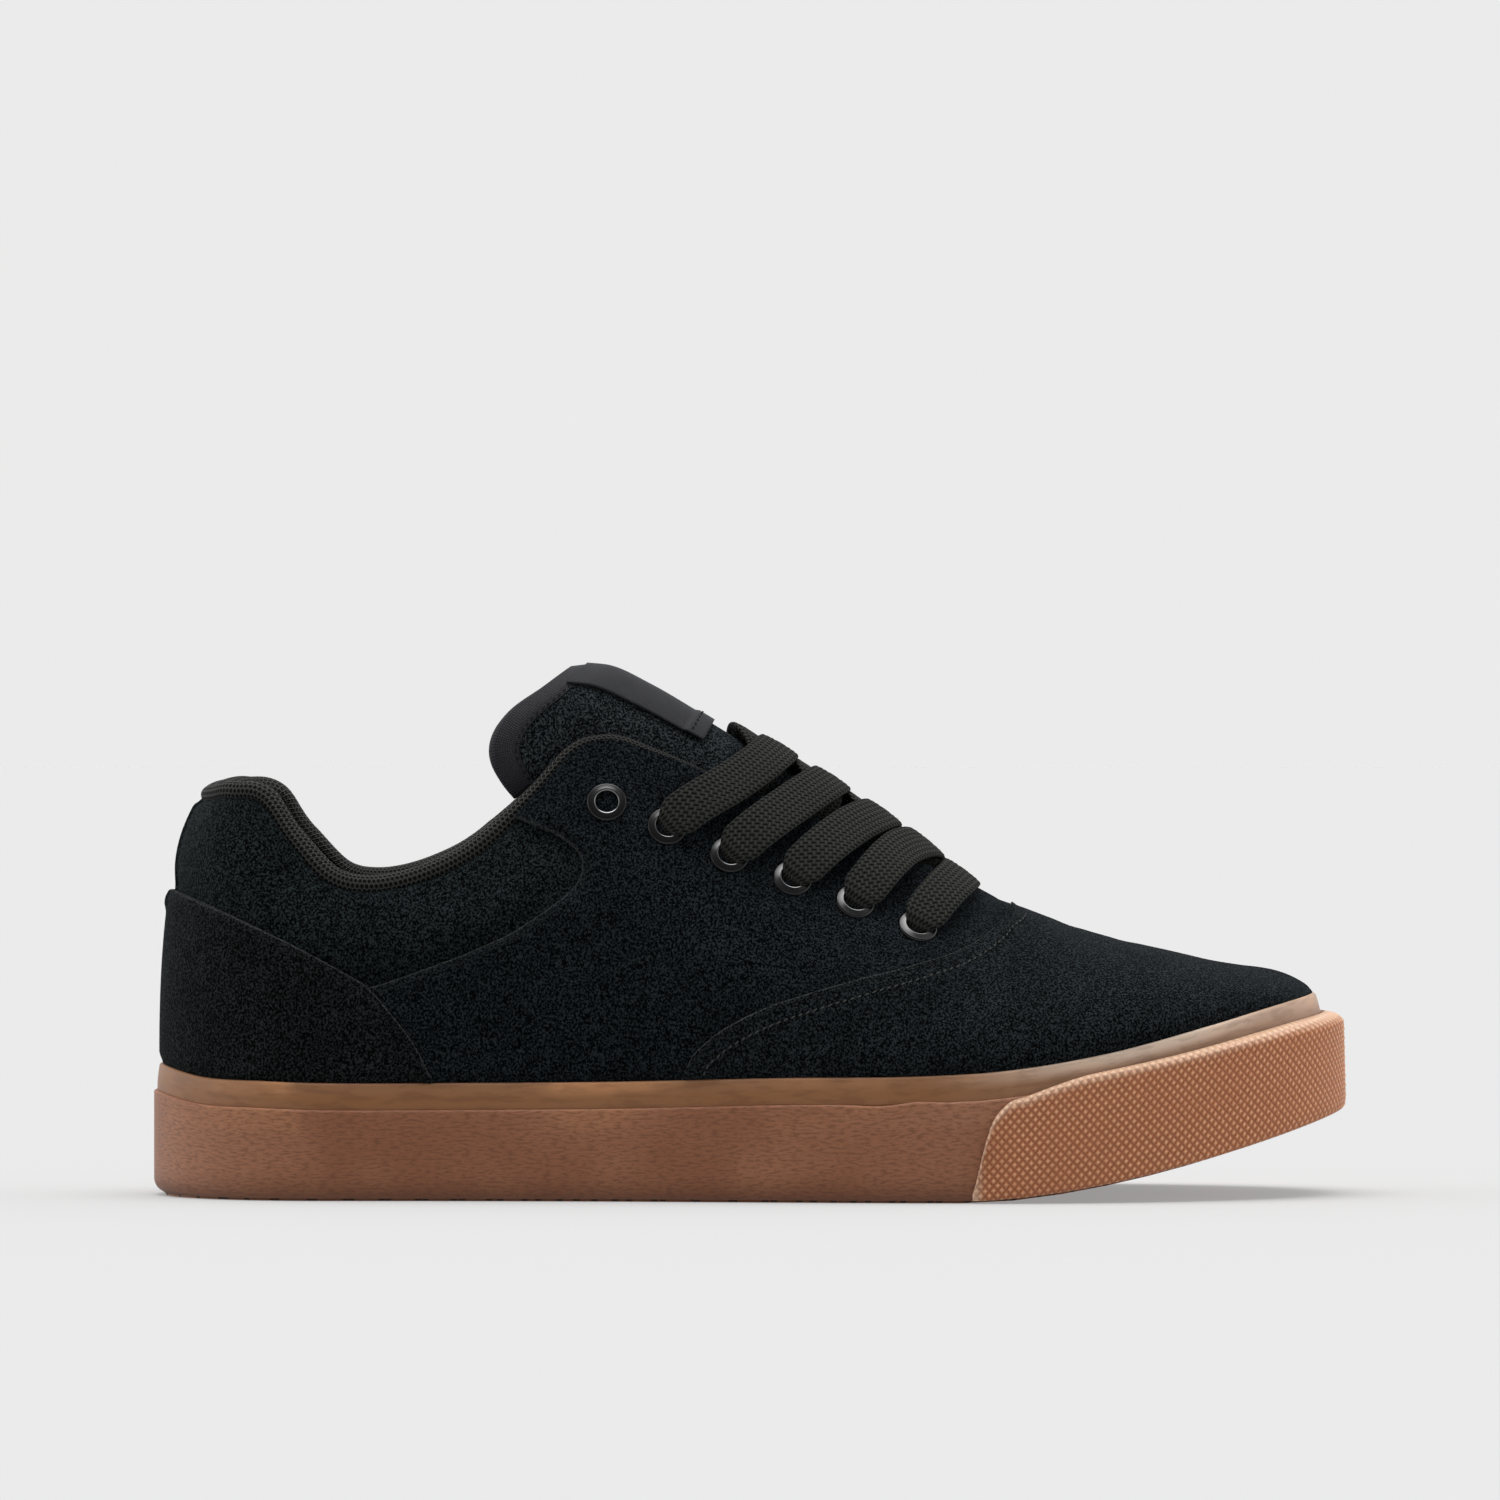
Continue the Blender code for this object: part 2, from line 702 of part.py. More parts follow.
def eyelet_profile():
    """Radius and height over the upper: a domed flange on the quarter and a barrel through the wall."""
    seat = GAP + QUARTER_THICK + GAP
    return [
        (EYELET_HOLE, seat + EYELET_DOME * 0.6),
        (EYELET_HOLE + 0.8, seat + EYELET_DOME),
        (EYELET_OUT, seat + 0.2),
        (EYELET_BARREL, seat),
        (EYELET_BARREL, -WALL - 0.4),
        (EYELET_HOLE, -WALL - 0.4),
    ]


def eyelet_mesh():
    bm = bmesh.new()
    verts = [bm.verts.new((r * MM, 0, z * MM)) for r, z in eyelet_profile()]
    for a, b in zip(verts, verts[1:] + verts[:1]):
        bm.edges.new((a, b))
    mesh = bpy.data.meshes.new("eyelet")
    bm.to_mesh(mesh)
    bm.free()
    mesh.materials.append(ENAMEL)
    return mesh


def eyelets():
    mesh = eyelet_mesh()
    drill = bmesh.new()
    for side, word in ((LATERAL, "lateral"), (MEDIAL, "medial")):
        for row in range(len(EYELETS["x"])):
            made = bpy.data.objects.new(f"eyelet_{word}_{row + 1}", mesh)
            made.matrix_world = eyelet_matrix(side, row)
            SHOE.objects.link(made)
            turn = made.modifiers.new("turn", "SCREW")
            turn.steps = turn.render_steps = EYELET_STEPS
            turn.use_merge_vertices = True
            turn.merge_threshold = 0.00001
            bmesh.ops.create_cone(
                drill,
                cap_ends=True,
                segments=DRILL_STEPS,
                radius1=(EYELET_BARREL + DRILL_CLEAR) * MM,
                radius2=(EYELET_BARREL + DRILL_CLEAR) * MM,
                depth=DRILL_DEPTH * MM,
                matrix=made.matrix_world,
            )
    return add("eyelet_drill", drill, ENAMEL, helper=True)


drill = eyelets()
for wall in (upper, *quarters):
    boolean(wall, drill, "DIFFERENCE")


# Tongue
def tongue_thin(x, angle):
    """Share of the tongue's full padding."""
    thick = float(smooth(x, TONGUE["x"], TONGUE["thick"]))
    return thick / max(TONGUE["thick"]) * (1 - 0.5 * (abs(angle) / TONGUE_WRAP) ** 4)


def tongue():
    xs = (108, 114, 121, 129, 138, 148, 159, 171, 183, 194, 203, 210, 217, 224)
    angles = np.linspace(-TONGUE_WRAP, TONGUE_WRAP, 11)
    return shell(
        "tongue",
        xs,
        angles,
        lambda x, a: tongue_point(x, a, 0),
        max(TONGUE["thick"]),
        SUEDE,
        side=-1,
        weight=tongue_thin,
        least=0.0,
    )


def tongue_binding():
    """A folded tape as a roll along the tongue's top edge."""
    x = TONGUE["x"][0]
    thick = TONGUE["thick"][0]
    angles = np.linspace(-TONGUE_WRAP + 2, TONGUE_WRAP - 2, 17)
    edge = np.array([tongue_point(x, angle, -thick / 2) for angle in angles])
    out = np.array([tongue_point(x, angle, 0) for angle in angles]) - edge
    away = np.cross(out, np.gradient(edge, axis=0))
    away = away / np.linalg.norm(away, axis=1)[:, None]
    path = [place(spot) for spot in edge + away * (TONGUE_ROLL + 3 * GAP)]
    curve = bpy.data.curves.new("tongue_binding", "CURVE")
    curve.dimensions = "3D"
    curve.bevel_depth = TONGUE_ROLL * MM
    curve.bevel_resolution = 2
    curve.use_fill_caps = True
    spline = curve.splines.new("POLY")
    spline.points.add(len(path) - 1)
    for point, spot in zip(spline.points, path):
        point.co = (*spot, 1)
    curve.materials.append(TAPE_CLOTH)
    SHOE.objects.link(bpy.data.objects.new("tongue_binding", curve))


def tongue_label():
    xs = np.linspace(*LABEL_X, 5)
    angles = np.linspace(-LABEL_WRAP, LABEL_WRAP, 7)
    return shell(
        "tongue_label", xs, angles, lambda x, a: tongue_point(x, a, 2 * GAP), LABEL_THICK, TAPE_CLOTH
    )


tongue()
tongue_binding()
tongue_label()


# Lace
def lace_ends(side, row, lead):
    """Where a strand lies over its eyelet and over the facing's edge, with the directions out of the shoe."""
    spot, axes = eyelet_frame(side, row)
    over = GAP + QUARTER_THICK + GAP + EYELET_DOME + 2 * GAP + LACE_THICK / 2
    x = EYELETS["x"][row] + lead * FACING_SHARE + 4.0
    q = float(station(x))
    out = upper_normal(side, q, 0.97)
    return [(spot + axes[:, 2] * over, axes[:, 2]), (upper_point(side, q, 1) + out * 3.6, out)]


def over_tongue(x, angle, out):
    """A place above the tongue with the direction out of it."""
    spot = tongue_point(x, angle, out)
    away = spot - tongue_point(x, angle, out - 1)
    slope = tongue_point(x + 1, angle, out) - tongue_point(x - 1, angle, out)
    slope = slope / np.linalg.norm(slope)
    away = away - slope * away.dot(slope)
    return spot, away / np.linalg.norm(away)


def strand(name, route, helper=False):
    """A flat strip along a route of (place, direction out) pairs."""
    spots = np.array([spot for spot, _ in route])
    outs = np.array([out for _, out in route])
    run = np.concatenate([[0], np.cumsum(np.linalg.norm(np.diff(spots, axis=0), axis=1))])
    at = np.linspace(0, run[-1], LACE_STATIONS)
    line = np.column_stack([smooth(at, run, spots[:, i]) for i in range(3)])
    outs = np.column_stack([smooth(at, run, outs[:, i]) for i in range(3)])
    sections = []
    for spot, way, out in zip(line, np.gradient(line, axis=0), outs):
        way = way / np.linalg.norm(way)
        across = np.cross(way, out)
        across = across / np.linalg.norm(across)
        out = np.cross(across, way)
        half, thick = LACE_WIDE / 2, LACE_THICK / 2
        corners = ((-1, 0), (-0.8, 1), (0.8, 1), (1, 0), (0.8, -1), (-0.8, -1))
        sections.append([spot + across * half * a + out * thick * b for a, b in corners])
    return loft(name, sections, LACE_COTTON, helper=helper)


def laces():
    spacing = np.diff(EYELETS["x"]).mean()
    for number, lead, tuck_angle in zip(LACES["row"], LACES["lead"], LACES["tuck"]):
        row = int(number) - 1
        x = EYELETS["x"][row]
        if number == len(EYELETS["x"]):
            near, far = lace_ends(LATERAL, row, lead), lace_ends(MEDIAL, row, lead)
            strand("lace_bar", [*near, over_tongue(x + lead, 0, 1.7), *far[::-1]])
            continue
        top = x + lead + spacing / 2
        tuck = x + lead * FACING_SHARE + spacing * 0.7
        pair = []
        for side in (LATERAL, MEDIAL):
            route = [
                *lace_ends(side, row, lead),
                over_tongue(top, 0, 2.2),
                over_tongue((top + tuck) / 2, -side * tuck_angle / 2, 2.4),
                over_tongue(tuck, -side * tuck_angle, 2.0),
            ]
            name = f"lace_cross_{int(number)}"
            pair.append(strand(name if side == LATERAL else name + "_under", route, helper=side == MEDIAL))
        boolean(pair[0], pair[1], "UNION")


laces()
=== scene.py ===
import math

import bmesh
import bpy
import numpy as np
from mathutils import Matrix, Vector


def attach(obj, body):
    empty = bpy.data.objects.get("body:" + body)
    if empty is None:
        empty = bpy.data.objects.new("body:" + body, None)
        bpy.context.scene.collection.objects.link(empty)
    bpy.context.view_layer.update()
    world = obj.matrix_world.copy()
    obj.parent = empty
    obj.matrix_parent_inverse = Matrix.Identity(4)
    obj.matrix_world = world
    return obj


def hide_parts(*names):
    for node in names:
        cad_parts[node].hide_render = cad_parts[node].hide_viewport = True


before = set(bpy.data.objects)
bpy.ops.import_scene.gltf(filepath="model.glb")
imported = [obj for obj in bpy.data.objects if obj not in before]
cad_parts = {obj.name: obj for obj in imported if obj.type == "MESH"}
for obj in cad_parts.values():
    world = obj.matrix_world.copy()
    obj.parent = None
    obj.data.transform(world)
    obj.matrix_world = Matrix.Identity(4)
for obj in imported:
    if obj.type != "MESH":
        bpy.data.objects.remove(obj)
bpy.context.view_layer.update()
scene = bpy.context.scene
mm = 0.001
print("frame loaded:", len(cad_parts), "nodes")


def table(names, *rows):  # rows of numbers as named columns
    return dict(zip(names.split(), np.array(rows, float).T))


# The shoe's own sizes, in mm from the back of the heel, as in the model
shoe = {
    "length": 298.0,
    "heelX": 2.8,
    "toeX": 293.8,
    "heelRound": 40.0,
    "toeRound": 74.0,
    "toePower": 2.2,
    "gap": 0.3,
    "soleThick": 12.0,
    "insoleThick": 4.5,
    "stripeShow": 6.3,
    "springX": 203.0,
    "springRise": 21.5,
    "springPower": 1.6,
    "wall": 2.0,
    "collarWall": 6.5,
    "foxShare": 0.2,
    "widest": 4.5,
    "ridgeX": 213.0,
    "ridgeUp": 0.97,
}
featherTable = table(
    "x middle lateral medial",
    (2.8, 0.0, 36.0, 36.0),
    (40.0, 0.0, 36.8, 36.4),
    (80.0, 0.0, 37.6, 35.0),
    (115.0, 0.2, 40.4, 33.0),
    (150.0, 0.6, 45.2, 35.6),
    (185.0, 1.2, 49.8, 43.2),
    (212.0, 2.2, 51.2, 48.4),
    (240.0, 4.0, 50.0, 49.6),
    (268.0, 5.6, 48.2, 48.0),
    (293.8, 6.4, 47.0, 47.0),
)
foxingTable = table(
    "x top lean",
    (2.8, 32.9, 0.0),
    (12.0, 30.5, 0.0),
    (30.0, 29.4, 0.0),
    (80.0, 29.1, 0.2),
    (112.0, 29.4, 0.3),
    (160.0, 30.6, 0.4),
    (186.0, 30.9, 0.5),
    (211.0, 31.9, 0.8),
    (236.0, 32.2, 1.5),
    (262.0, 32.3, 2.8),
    (284.0, 31.0, 4.2),
    (293.8, 29.6, 4.9),
)
ribTable = table(
    "foot x gap z bulge low tilt reach",
    (2.8, 11.6, 0.0, 98.6, 0.2, 24.0, 26.0, 17.0),
    (8.0, 14.4, 11.5, 99.3, 0.3, 24.0, 24.0, 17.0),
    (18.0, 20.5, 20.0, 99.9, 0.4, 23.0, 22.0, 17.0),
    (28.0, 28.4, 24.0, 98.2, 0.6, 22.0, 20.0, 17.0),
    (38.0, 35.6, 27.2, 88.2, 0.9, 20.0, 17.0, 15.0),
    (47.0, 44.4, 30.4, 79.0, 1.2, 18.0, 15.0, 14.0),
    (58.0, 55.0, 32.0, 76.4, 1.6, 17.0, 14.0, 14.0),
    (72.0, 70.0, 31.4, 79.8, 2.0, 18.0, 16.0, 16.0),
    (86.0, 84.0, 29.0, 87.8, 2.4, 21.0, 19.0, 20.0),
    (97.0, 96.0, 25.8, 99.8, 2.8, 25.0, 22.0, 26.0),
    (106.0, 106.0, 23.0, 110.8, 3.0, 27.0, 24.0, 30.0),
    (113.0, 113.0, 22.0, 113.0, 3.0, 28.0, 25.0, 31.0),
    (125.0, 125.0, 21.2, 109.8, 3.0, 28.0, 27.0, 31.0),
    (150.0, 150.0, 19.4, 99.8, 2.6, 26.0, 32.0, 30.0),
    (176.0, 176.0, 16.6, 88.6, 2.0, 21.0, 40.0, 28.0),
    (194.0, 194.0, 13.0, 80.8, 1.6, 18.0, 50.0, 27.0),
    (204.0, 203.5, 8.8, 76.4, 1.4, 16.0, 62.0, 26.0),
    (210.0, 208.8, 4.2, 73.4, 1.2, 15.0, 78.0, 26.0),
    (215.0, 210.6, 0.0, 72.2, 1.2, 14.5, 90.0, 26.0),
    (235.0, 231.0, 0.0, 64.8, 1.0, 12.0, 90.0, 28.0),
    (255.0, 247.0, 0.0, 60.6, 0.8, 9.0, 90.0, 25.0),
    (272.0, 259.0, 0.0, 58.3, 0.6, 5.5, 90.0, 20.0),
    (285.0, 266.5, 0.0, 57.1, 0.0, 1.8, 90.0, 14.0),
    (293.8, 270.0, 0.0, 56.4, -0.6, 0.3, 90.0, 11.5),
)
# Seams of the side pattern, seen from the side
vampSeam = table(
    "x z",
    (131.4, 28.0),
    (134.2, 34.8),
    (138.6, 39.6),
    (145.6, 44.2),
    (153.0, 47.6),
    (162.0, 50.5),
    (175.0, 53.9),
    (190.0, 57.5),
    (199.0, 60.1),
    (205.5, 63.2),
    (210.0, 66.6),
    (212.8, 70.0),
    (214.0, 74.0),
    (214.4, 90.0),
)
counterSeam = table(
    "x z",
    (-6.0, 79.4),
    (3.2, 76.8),
    (11.2, 74.0),
    (26.0, 67.7),
    (38.8, 61.5),
    (48.8, 56.1),
    (54.2, 52.9),
    (61.2, 45.2),
    (67.5, 36.4),
    (72.0, 27.0),
)
hookSeam = table(
    "z x",
    (52.0, 53.6),
    (53.7, 59.0),
    (58.0, 71.3),
    (60.2, 77.5),
    (62.9, 83.8),
    (65.4, 89.2),
    (67.6, 92.8),
    (71.9, 99.0),
    (77.1, 105.1),
    (79.5, 106.7),
    (82.0, 107.3),
    (83.8, 107.2),
    (86.1, 106.1),
    (88.2, 103.9),
    (89.7, 101.6),
    (91.2, 98.6),
    (92.3, 95.4),
    (93.6, 92.2),
    (94.5, 89.5),
    (101.0, 66.0),
)


def smooth(at, xs, ys, levelStart=False):  # a smooth curve through the rows of a table, read at any place
    at = np.clip(at, xs[0], xs[-1])
    slopes = np.gradient(ys, xs)
    if levelStart:
        slopes[0] = 0
    i = np.clip(np.searchsorted(xs, at, side="right") - 1, 0, len(xs) - 2)
    wide = xs[i + 1] - xs[i]
    t = (at - xs[i]) / wide
    start = ys[i] * (1 + 2 * t) * (1 - t) ** 2 + slopes[i] * wide * t * (1 - t) ** 2
    return start + ys[i + 1] * t * t * (3 - 2 * t) - slopes[i + 1] * wide * t * t * (1 - t)


def column(rows, name, at):  # a named column of a table, read at x
    return smooth(at, rows["x"], rows[name])


def hookAt(z):
    return smooth(z, hookSeam["z"], hookSeam["x"])


def counterAt(x):
    return column(counterSeam, "z", x)


def hump(at, peak, wide):  # 1 at the peak, falling to nothing at about twice the width
    return np.exp(-(((at - peak) / wide) ** 2))


def ease(at, low, high):  # 0 below low, 1 above high, soft between
    t = np.clip((at - low) / (high - low), 0, 1)
    return t * t * (3 - 2 * t)


def unit(v):
    return v / np.maximum(np.linalg.norm(v, axis=-1, keepdims=True), 1e-9)


def station(x):  # 0 at the heel, 1 at the toe, close together at the rounded ends
    share = np.clip((np.asarray(x, float) - shoe["heelX"]) / (shoe["toeX"] - shoe["heelX"]), 0, 1)
    return np.arccos(1 - 2 * share) / math.pi


def footX(q):
    return shoe["heelX"] + (shoe["toeX"] - shoe["heelX"]) * (1 - np.cos(math.pi * q)) / 2


def middle(x):
    return column(featherTable, "middle", x)


# w goes once round the shoe: 0 to 1 from heel to toe on the lateral side, 1 to 2 back on the medial side
def splitLoop(w):
    w = np.mod(w, 2)
    return np.where(w > 1, 2 - w, w), np.where(w > 1, 1.0, -1.0)


def loopX(w):
    return footX(splitLoop(w)[0])


def loopAt(side, q):  # side is -1 lateral or 1 medial
    return np.where(side < 0, q, 2 - q)


def feather(w):
    q, side = splitLoop(w)
    x = footX(q)
    half = np.where(side < 0, column(featherTable, "lateral", x), column(featherTable, "medial", x))
    heel = np.clip((shoe["heelX"] + shoe["heelRound"] - x) / shoe["heelRound"], 0, 1)
    toe = np.clip((x - shoe["toeX"] + shoe["toeRound"]) / shoe["toeRound"], 0, 1)
    power = shoe["toePower"]
    half = half * np.sqrt(1 - heel**2) * (1 - toe**power) ** (1 / power)
    return np.stack([x, middle(x) + side * half], -1)


def outward(w):
    run = unit(feather(w + 0.002) - feather(w - 0.002))
    return np.stack([run[..., 1], -run[..., 0]], -1)


def tread(x):
    share = np.maximum((x - shoe["springX"]) / (shoe["length"] - 2 - shoe["springX"]), 0)
    return shoe["springRise"] * share ** shoe["springPower"]


def foxingTop(x):
    return tread(x) + column(foxingTable, "top", x)


def tapeTop(x):
    return foxingTop(x) - shoe["stripeShow"]


def foxingShare(x, z):  # 0 at the tread, 1 at the foxing's top edge
    return np.clip((z - tread(x)) / (foxingTop(x) - tread(x)), 0, 1)


def wallPoint(w, z, out):
    x = loopX(w)
    out = out - column(foxingTable, "lean", x) * foxingShare(x, z)
    plan = feather(w) + outward(w) * out[..., None]
    return np.concatenate([plan, (z + 0 * x)[..., None]], -1)


def skin(w, up):  # outer face of the upper: up is 0 on the sole, foxShare at the foxing, 1 on the top edge
    w, up = np.broadcast_arrays(np.asarray(w, float), np.asarray(up, float))
    q, side = splitLoop(w)
    foot = footX(q)
    low = tread(foot) + shoe["soleThick"] + shoe["gap"]
    top = foxingTop(foot)
    fox = shoe["foxShare"]
    below = wallPoint(w, low + (top - low) * np.minimum(up / fox, 1), 0 * foot)
    feet = station(ribTable["foot"])
    names = ("x", "gap", "z", "bulge", "low", "tilt", "reach")
    columns = [smooth(q, feet, ribTable[name], levelStart=name != "gap") for name in names]
    x, gap, z, bulge, lift, tilt, reach = columns
    start = wallPoint(w, top, 0 * foot)
    end = np.stack([x, middle(x) + side * np.maximum(gap, 0), z], -1)
    along = unit(start[..., :2] - end[..., :2])
    turn = np.radians(tilt)
    lower = start + np.concatenate([outward(w) * bulge[..., None], lift[..., None]], -1)
    sink = (-reach * np.cos(turn))[..., None]
    upper = end + np.concatenate([along * (reach * np.sin(turn))[..., None], sink], -1)
    t = np.clip((up - fox) / (1 - fox), 0, 1)[..., None]
    curve = start * (1 - t) ** 3 + lower * 3 * t * (1 - t) ** 2 + upper * 3 * t * t * (1 - t) + end * t**3
    return np.where((up < fox)[..., None], below, curve)


def skinOut(w, up):
    w, up = np.broadcast_arrays(np.asarray(w, float), np.asarray(up, float))
    step = 0.003
    q = splitLoop(w)[0]
    ridge = q > station(shoe["ridgeX"])
    level = np.where(ridge, np.minimum(up, shoe["ridgeUp"]), up)
    along = skin(w + step, level) - skin(w - step, level)
    rise = skin(w, np.minimum(level + step, 1)) - skin(w, np.maximum(level - step, 0))
    out = unit(np.cross(along, rise))
    flat = np.where(ridge, 1 - ease(up, shoe["ridgeUp"], 1.0), 1.0)  # both sides agree along the ridge
    return unit(out * np.stack([1 + 0 * flat, flat, 1 + 0 * flat], -1))


def onSkin(side, x, z):  # (w, up) where the side view shows x and z
    x, z = np.asarray(x, float), np.asarray(z, float)
    q = station(x)
    ups = np.linspace(shoe["foxShare"], 1, 60)
    up = np.full(q.shape, 0.6)
    for turn in range(14):
        w = loopAt(side, q)
        spot = skin(w, up)
        heights = skin(w[..., None], ups)[..., 2]
        pairs = zip(np.atleast_1d(z), np.atleast_2d(heights))
        up = np.array([np.interp(level, rise, ups) for level, rise in pairs]).reshape(q.shape)
        q = np.clip(q + 0.8 * (station(x) - station(spot[..., 0])), 0, 1)
    return loopAt(side, q), up


def planMiddle():
    qs = np.linspace(0.3, 0.95, 200)
    ends = [wallPoint(w, tread(footX(qs)), 0 * qs + shoe["widest"])[:, 1] for w in (qs, 2 - qs)]
    return (ends[0].min() + ends[1].max()) / 2


shift = np.array([shoe["length"] / 2, planMiddle(), 0.0])


def place(points):  # mm from the heel to metres from the middle of the shoe
    return (np.asarray(points, float) - shift) * mm


# Mesh helpers
def lengths(points, axis):  # mean distance along one way of a grid, from its first line
    steps = np.linalg.norm(np.diff(points, axis=axis), axis=2).mean(1 - axis)
    return np.concatenate([[0], np.cumsum(steps)])


def runAlong(path):  # distance along a path from its first point
    return np.concatenate([[0], np.cumsum(np.linalg.norm(np.diff(path, axis=0), axis=1))])


def follow(curve, at, run, path):  # places at distances along a path; curve is smooth or np.interp
    return np.column_stack([curve(at, run, path[:, i]) for i in range(3)])


def standing(spot, axes):
    return Matrix.Translation(Vector(place(spot))) @ Matrix(axes.tolist()).to_4x4()


def closed(grid):
    return np.concatenate([grid, grid[:, :1]], 1)


def bentSheet(points, wrap=False, value=None, uvs=None):  # a grid bent to an array of (across, along, 3)
    points = closed(points) if wrap else points
    columns, rows = points.shape[:2]
    if uvs is None:
        uvs = np.stack(np.meshgrid(lengths(points, 0), lengths(points, 1), indexing="ij"), -1)
    elif wrap:
        uvs = closed(uvs)
    spots = place(points).transpose(1, 0, 2).reshape(-1, 3).tolist()
    flat = uvs.transpose(1, 0, 2).reshape(-1, 2).tolist()
    bm = bmesh.new()
    uv = bm.loops.layers.uv.new("UVMap")
    level = bm.verts.layers.float.new("level")
    bmesh.ops.create_grid(bm, x_segments=columns - 1, y_segments=rows - 1, size=0.5)
    bm.verts.index_update()
    for face in bm.faces:
        for loop in face.loops:
            loop[uv].uv = flat[loop.vert.index]
    for vert, spot in zip(bm.verts, spots):
        vert.co = spot
    if value is not None:
        for vert, share in zip(bm.verts, value.T.reshape(-1).tolist()):
            vert[level] = share
    return bm


def weld(bm, dist=0.01):
    bmesh.ops.remove_doubles(bm, verts=bm.verts, dist=dist * mm)
    bmesh.ops.dissolve_degenerate(bm, edges=bm.edges, dist=dist * mm / 10)


def joinSheet(bm, other):
    mesh = bpy.data.meshes.new("part")
    other.to_mesh(mesh)
    other.free()
    bm.from_mesh(mesh)
    bpy.data.meshes.remove(mesh)


def capEnds(bm):
    bmesh.ops.holes_fill(bm, edges=[edge for edge in bm.edges if edge.is_boundary])


def tube(points, dist=0.01, **given):  # a sheet wrapped round, welded, with both ends filled
    bm = bentSheet(points, wrap=True, **given)
    weld(bm, dist)
    capEnds(bm)
    return bm


def finishPiece(name, bm, look, replaced=(), thick=0.0, recalc=False):
    if recalc:
        bmesh.ops.recalc_face_normals(bm, faces=bm.faces)
    for face in bm.faces:
        face.smooth = True
    mesh = bpy.data.meshes.new(name)
    bm.to_mesh(mesh)
    bm.free()
    mesh.materials.append(look.material)
    piece = bpy.data.objects.new(name, mesh)
    scene.collection.objects.link(piece)
    if thick:
        wall = piece.modifiers.new("wall", "SOLIDIFY")
        wall.thickness = thick * mm
        wall.offset = -1
    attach(piece, "root")
    if replaced:
        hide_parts(*replaced)
    print("made", name, len(mesh.polygons), "faces")
    return piece


# Materials
class Wire:  # a socket on which Python's operators add Math nodes
    def __init__(self, look, socket):
        self.look = look
        self.socket = socket

    def use(self, operation, *values):
        sockets = dict(enumerate((self, *values)))
        return self.look.node("ShaderNodeMath", {"operation": operation}, sockets)

    def __add__(self, other):
        return self.use("ADD", other)

    def __sub__(self, other):
        return self.use("SUBTRACT", other)

    def __mul__(self, other):
        return self.use("MULTIPLY", other)

    def __truediv__(self, other):
        return self.use("DIVIDE", other)

    def __pow__(self, other):
        return self.use("POWER", other)

    def __rsub__(self, other):
        return self.look.node("ShaderNodeMath", {"operation": "SUBTRACT"}, {0: other, 1: self})

    __radd__ = __add__
    __rmul__ = __mul__

    def clip(self, low, high):  # 0 at low, 1 at high, soft between
        settings = {"interpolation_type": "SMOOTHSTEP"}
        sockets = {"Value": self, "From Min": low, "From Max": high}
        return self.look.node("ShaderNodeMapRange", settings, sockets)


class Look:  # a Principled material and the nodes that feed it
    def __init__(self, name, **fixed):
        self.material = bpy.data.materials.new(name)
        self.material.use_nodes = True
        self.tree = self.material.node_tree
        self.shader = self.tree.nodes["Principled BSDF"]
        for key, value in fixed.items():
            self.feed(key, value)

    def feed(self, socket, value):
        target = self.shader.inputs[socket]
        if isinstance(value, Wire):
            self.tree.links.new(value.socket, target)
        else:
            target.default_value = value

    def node(self, kind, settings, sockets, out=0):
        made = self.tree.nodes.new(kind)
        for key, value in settings.items():
            setattr(made, key, value)
        for key, value in sockets.items():
            if isinstance(value, Wire):
                self.tree.links.new(value.socket, made.inputs[key])
            else:
                made.inputs[key].default_value = value
        return Wire(self, made.outputs[out])

    def coords(self, which="Object"):
        return self.node("ShaderNodeTexCoord", {}, {}, which)

    def scaled(self, vector, scale):
        return self.node("ShaderNodeMapping", {}, {"Vector": vector, "Scale": scale})

    def cells(self, along, up):  # u and v counted in cells of a size in mm
        return self.axes(self.scaled(self.coords("UV"), (1 / along, 1 / up, 1.0)))[:2]

    def level(self):  # the value stored on the vertices
        return self.node("ShaderNodeAttribute", {"attribute_name": "level"}, {}, "Fac")

    def axes(self, vector):
        made = self.node("ShaderNodeSeparateXYZ", {}, {"Vector": vector})
        outputs = made.socket.node.outputs
        return [Wire(self, outputs[i]) for i in range(3)]

    def noise(self, vector, scale, detail=2.0, rough=0.5):
        sockets = {"Vector": vector, "Scale": scale, "Detail": detail, "Roughness": rough}
        return self.node("ShaderNodeTexNoise", {}, sockets)

    def mix(self, share, first, second):
        return self.node("ShaderNodeMix", {"data_type": "RGBA"}, {0: share, 6: first, 7: second}, 2)

    def bump(self, height, distance):
        sockets = {"Height": height, "Distance": distance * mm, "Strength": 1.0}
        return self.node("ShaderNodeBump", {}, sockets)


def tint(red, green, blue):  # a colour as a picture editor shows it, made linear
    shares = [c / 255 for c in (red, green, blue)]
    return tuple(((c + 0.055) / 1.055) ** 2.4 if c > 0.04 else c / 12.92 for c in shares) + (1.0,)


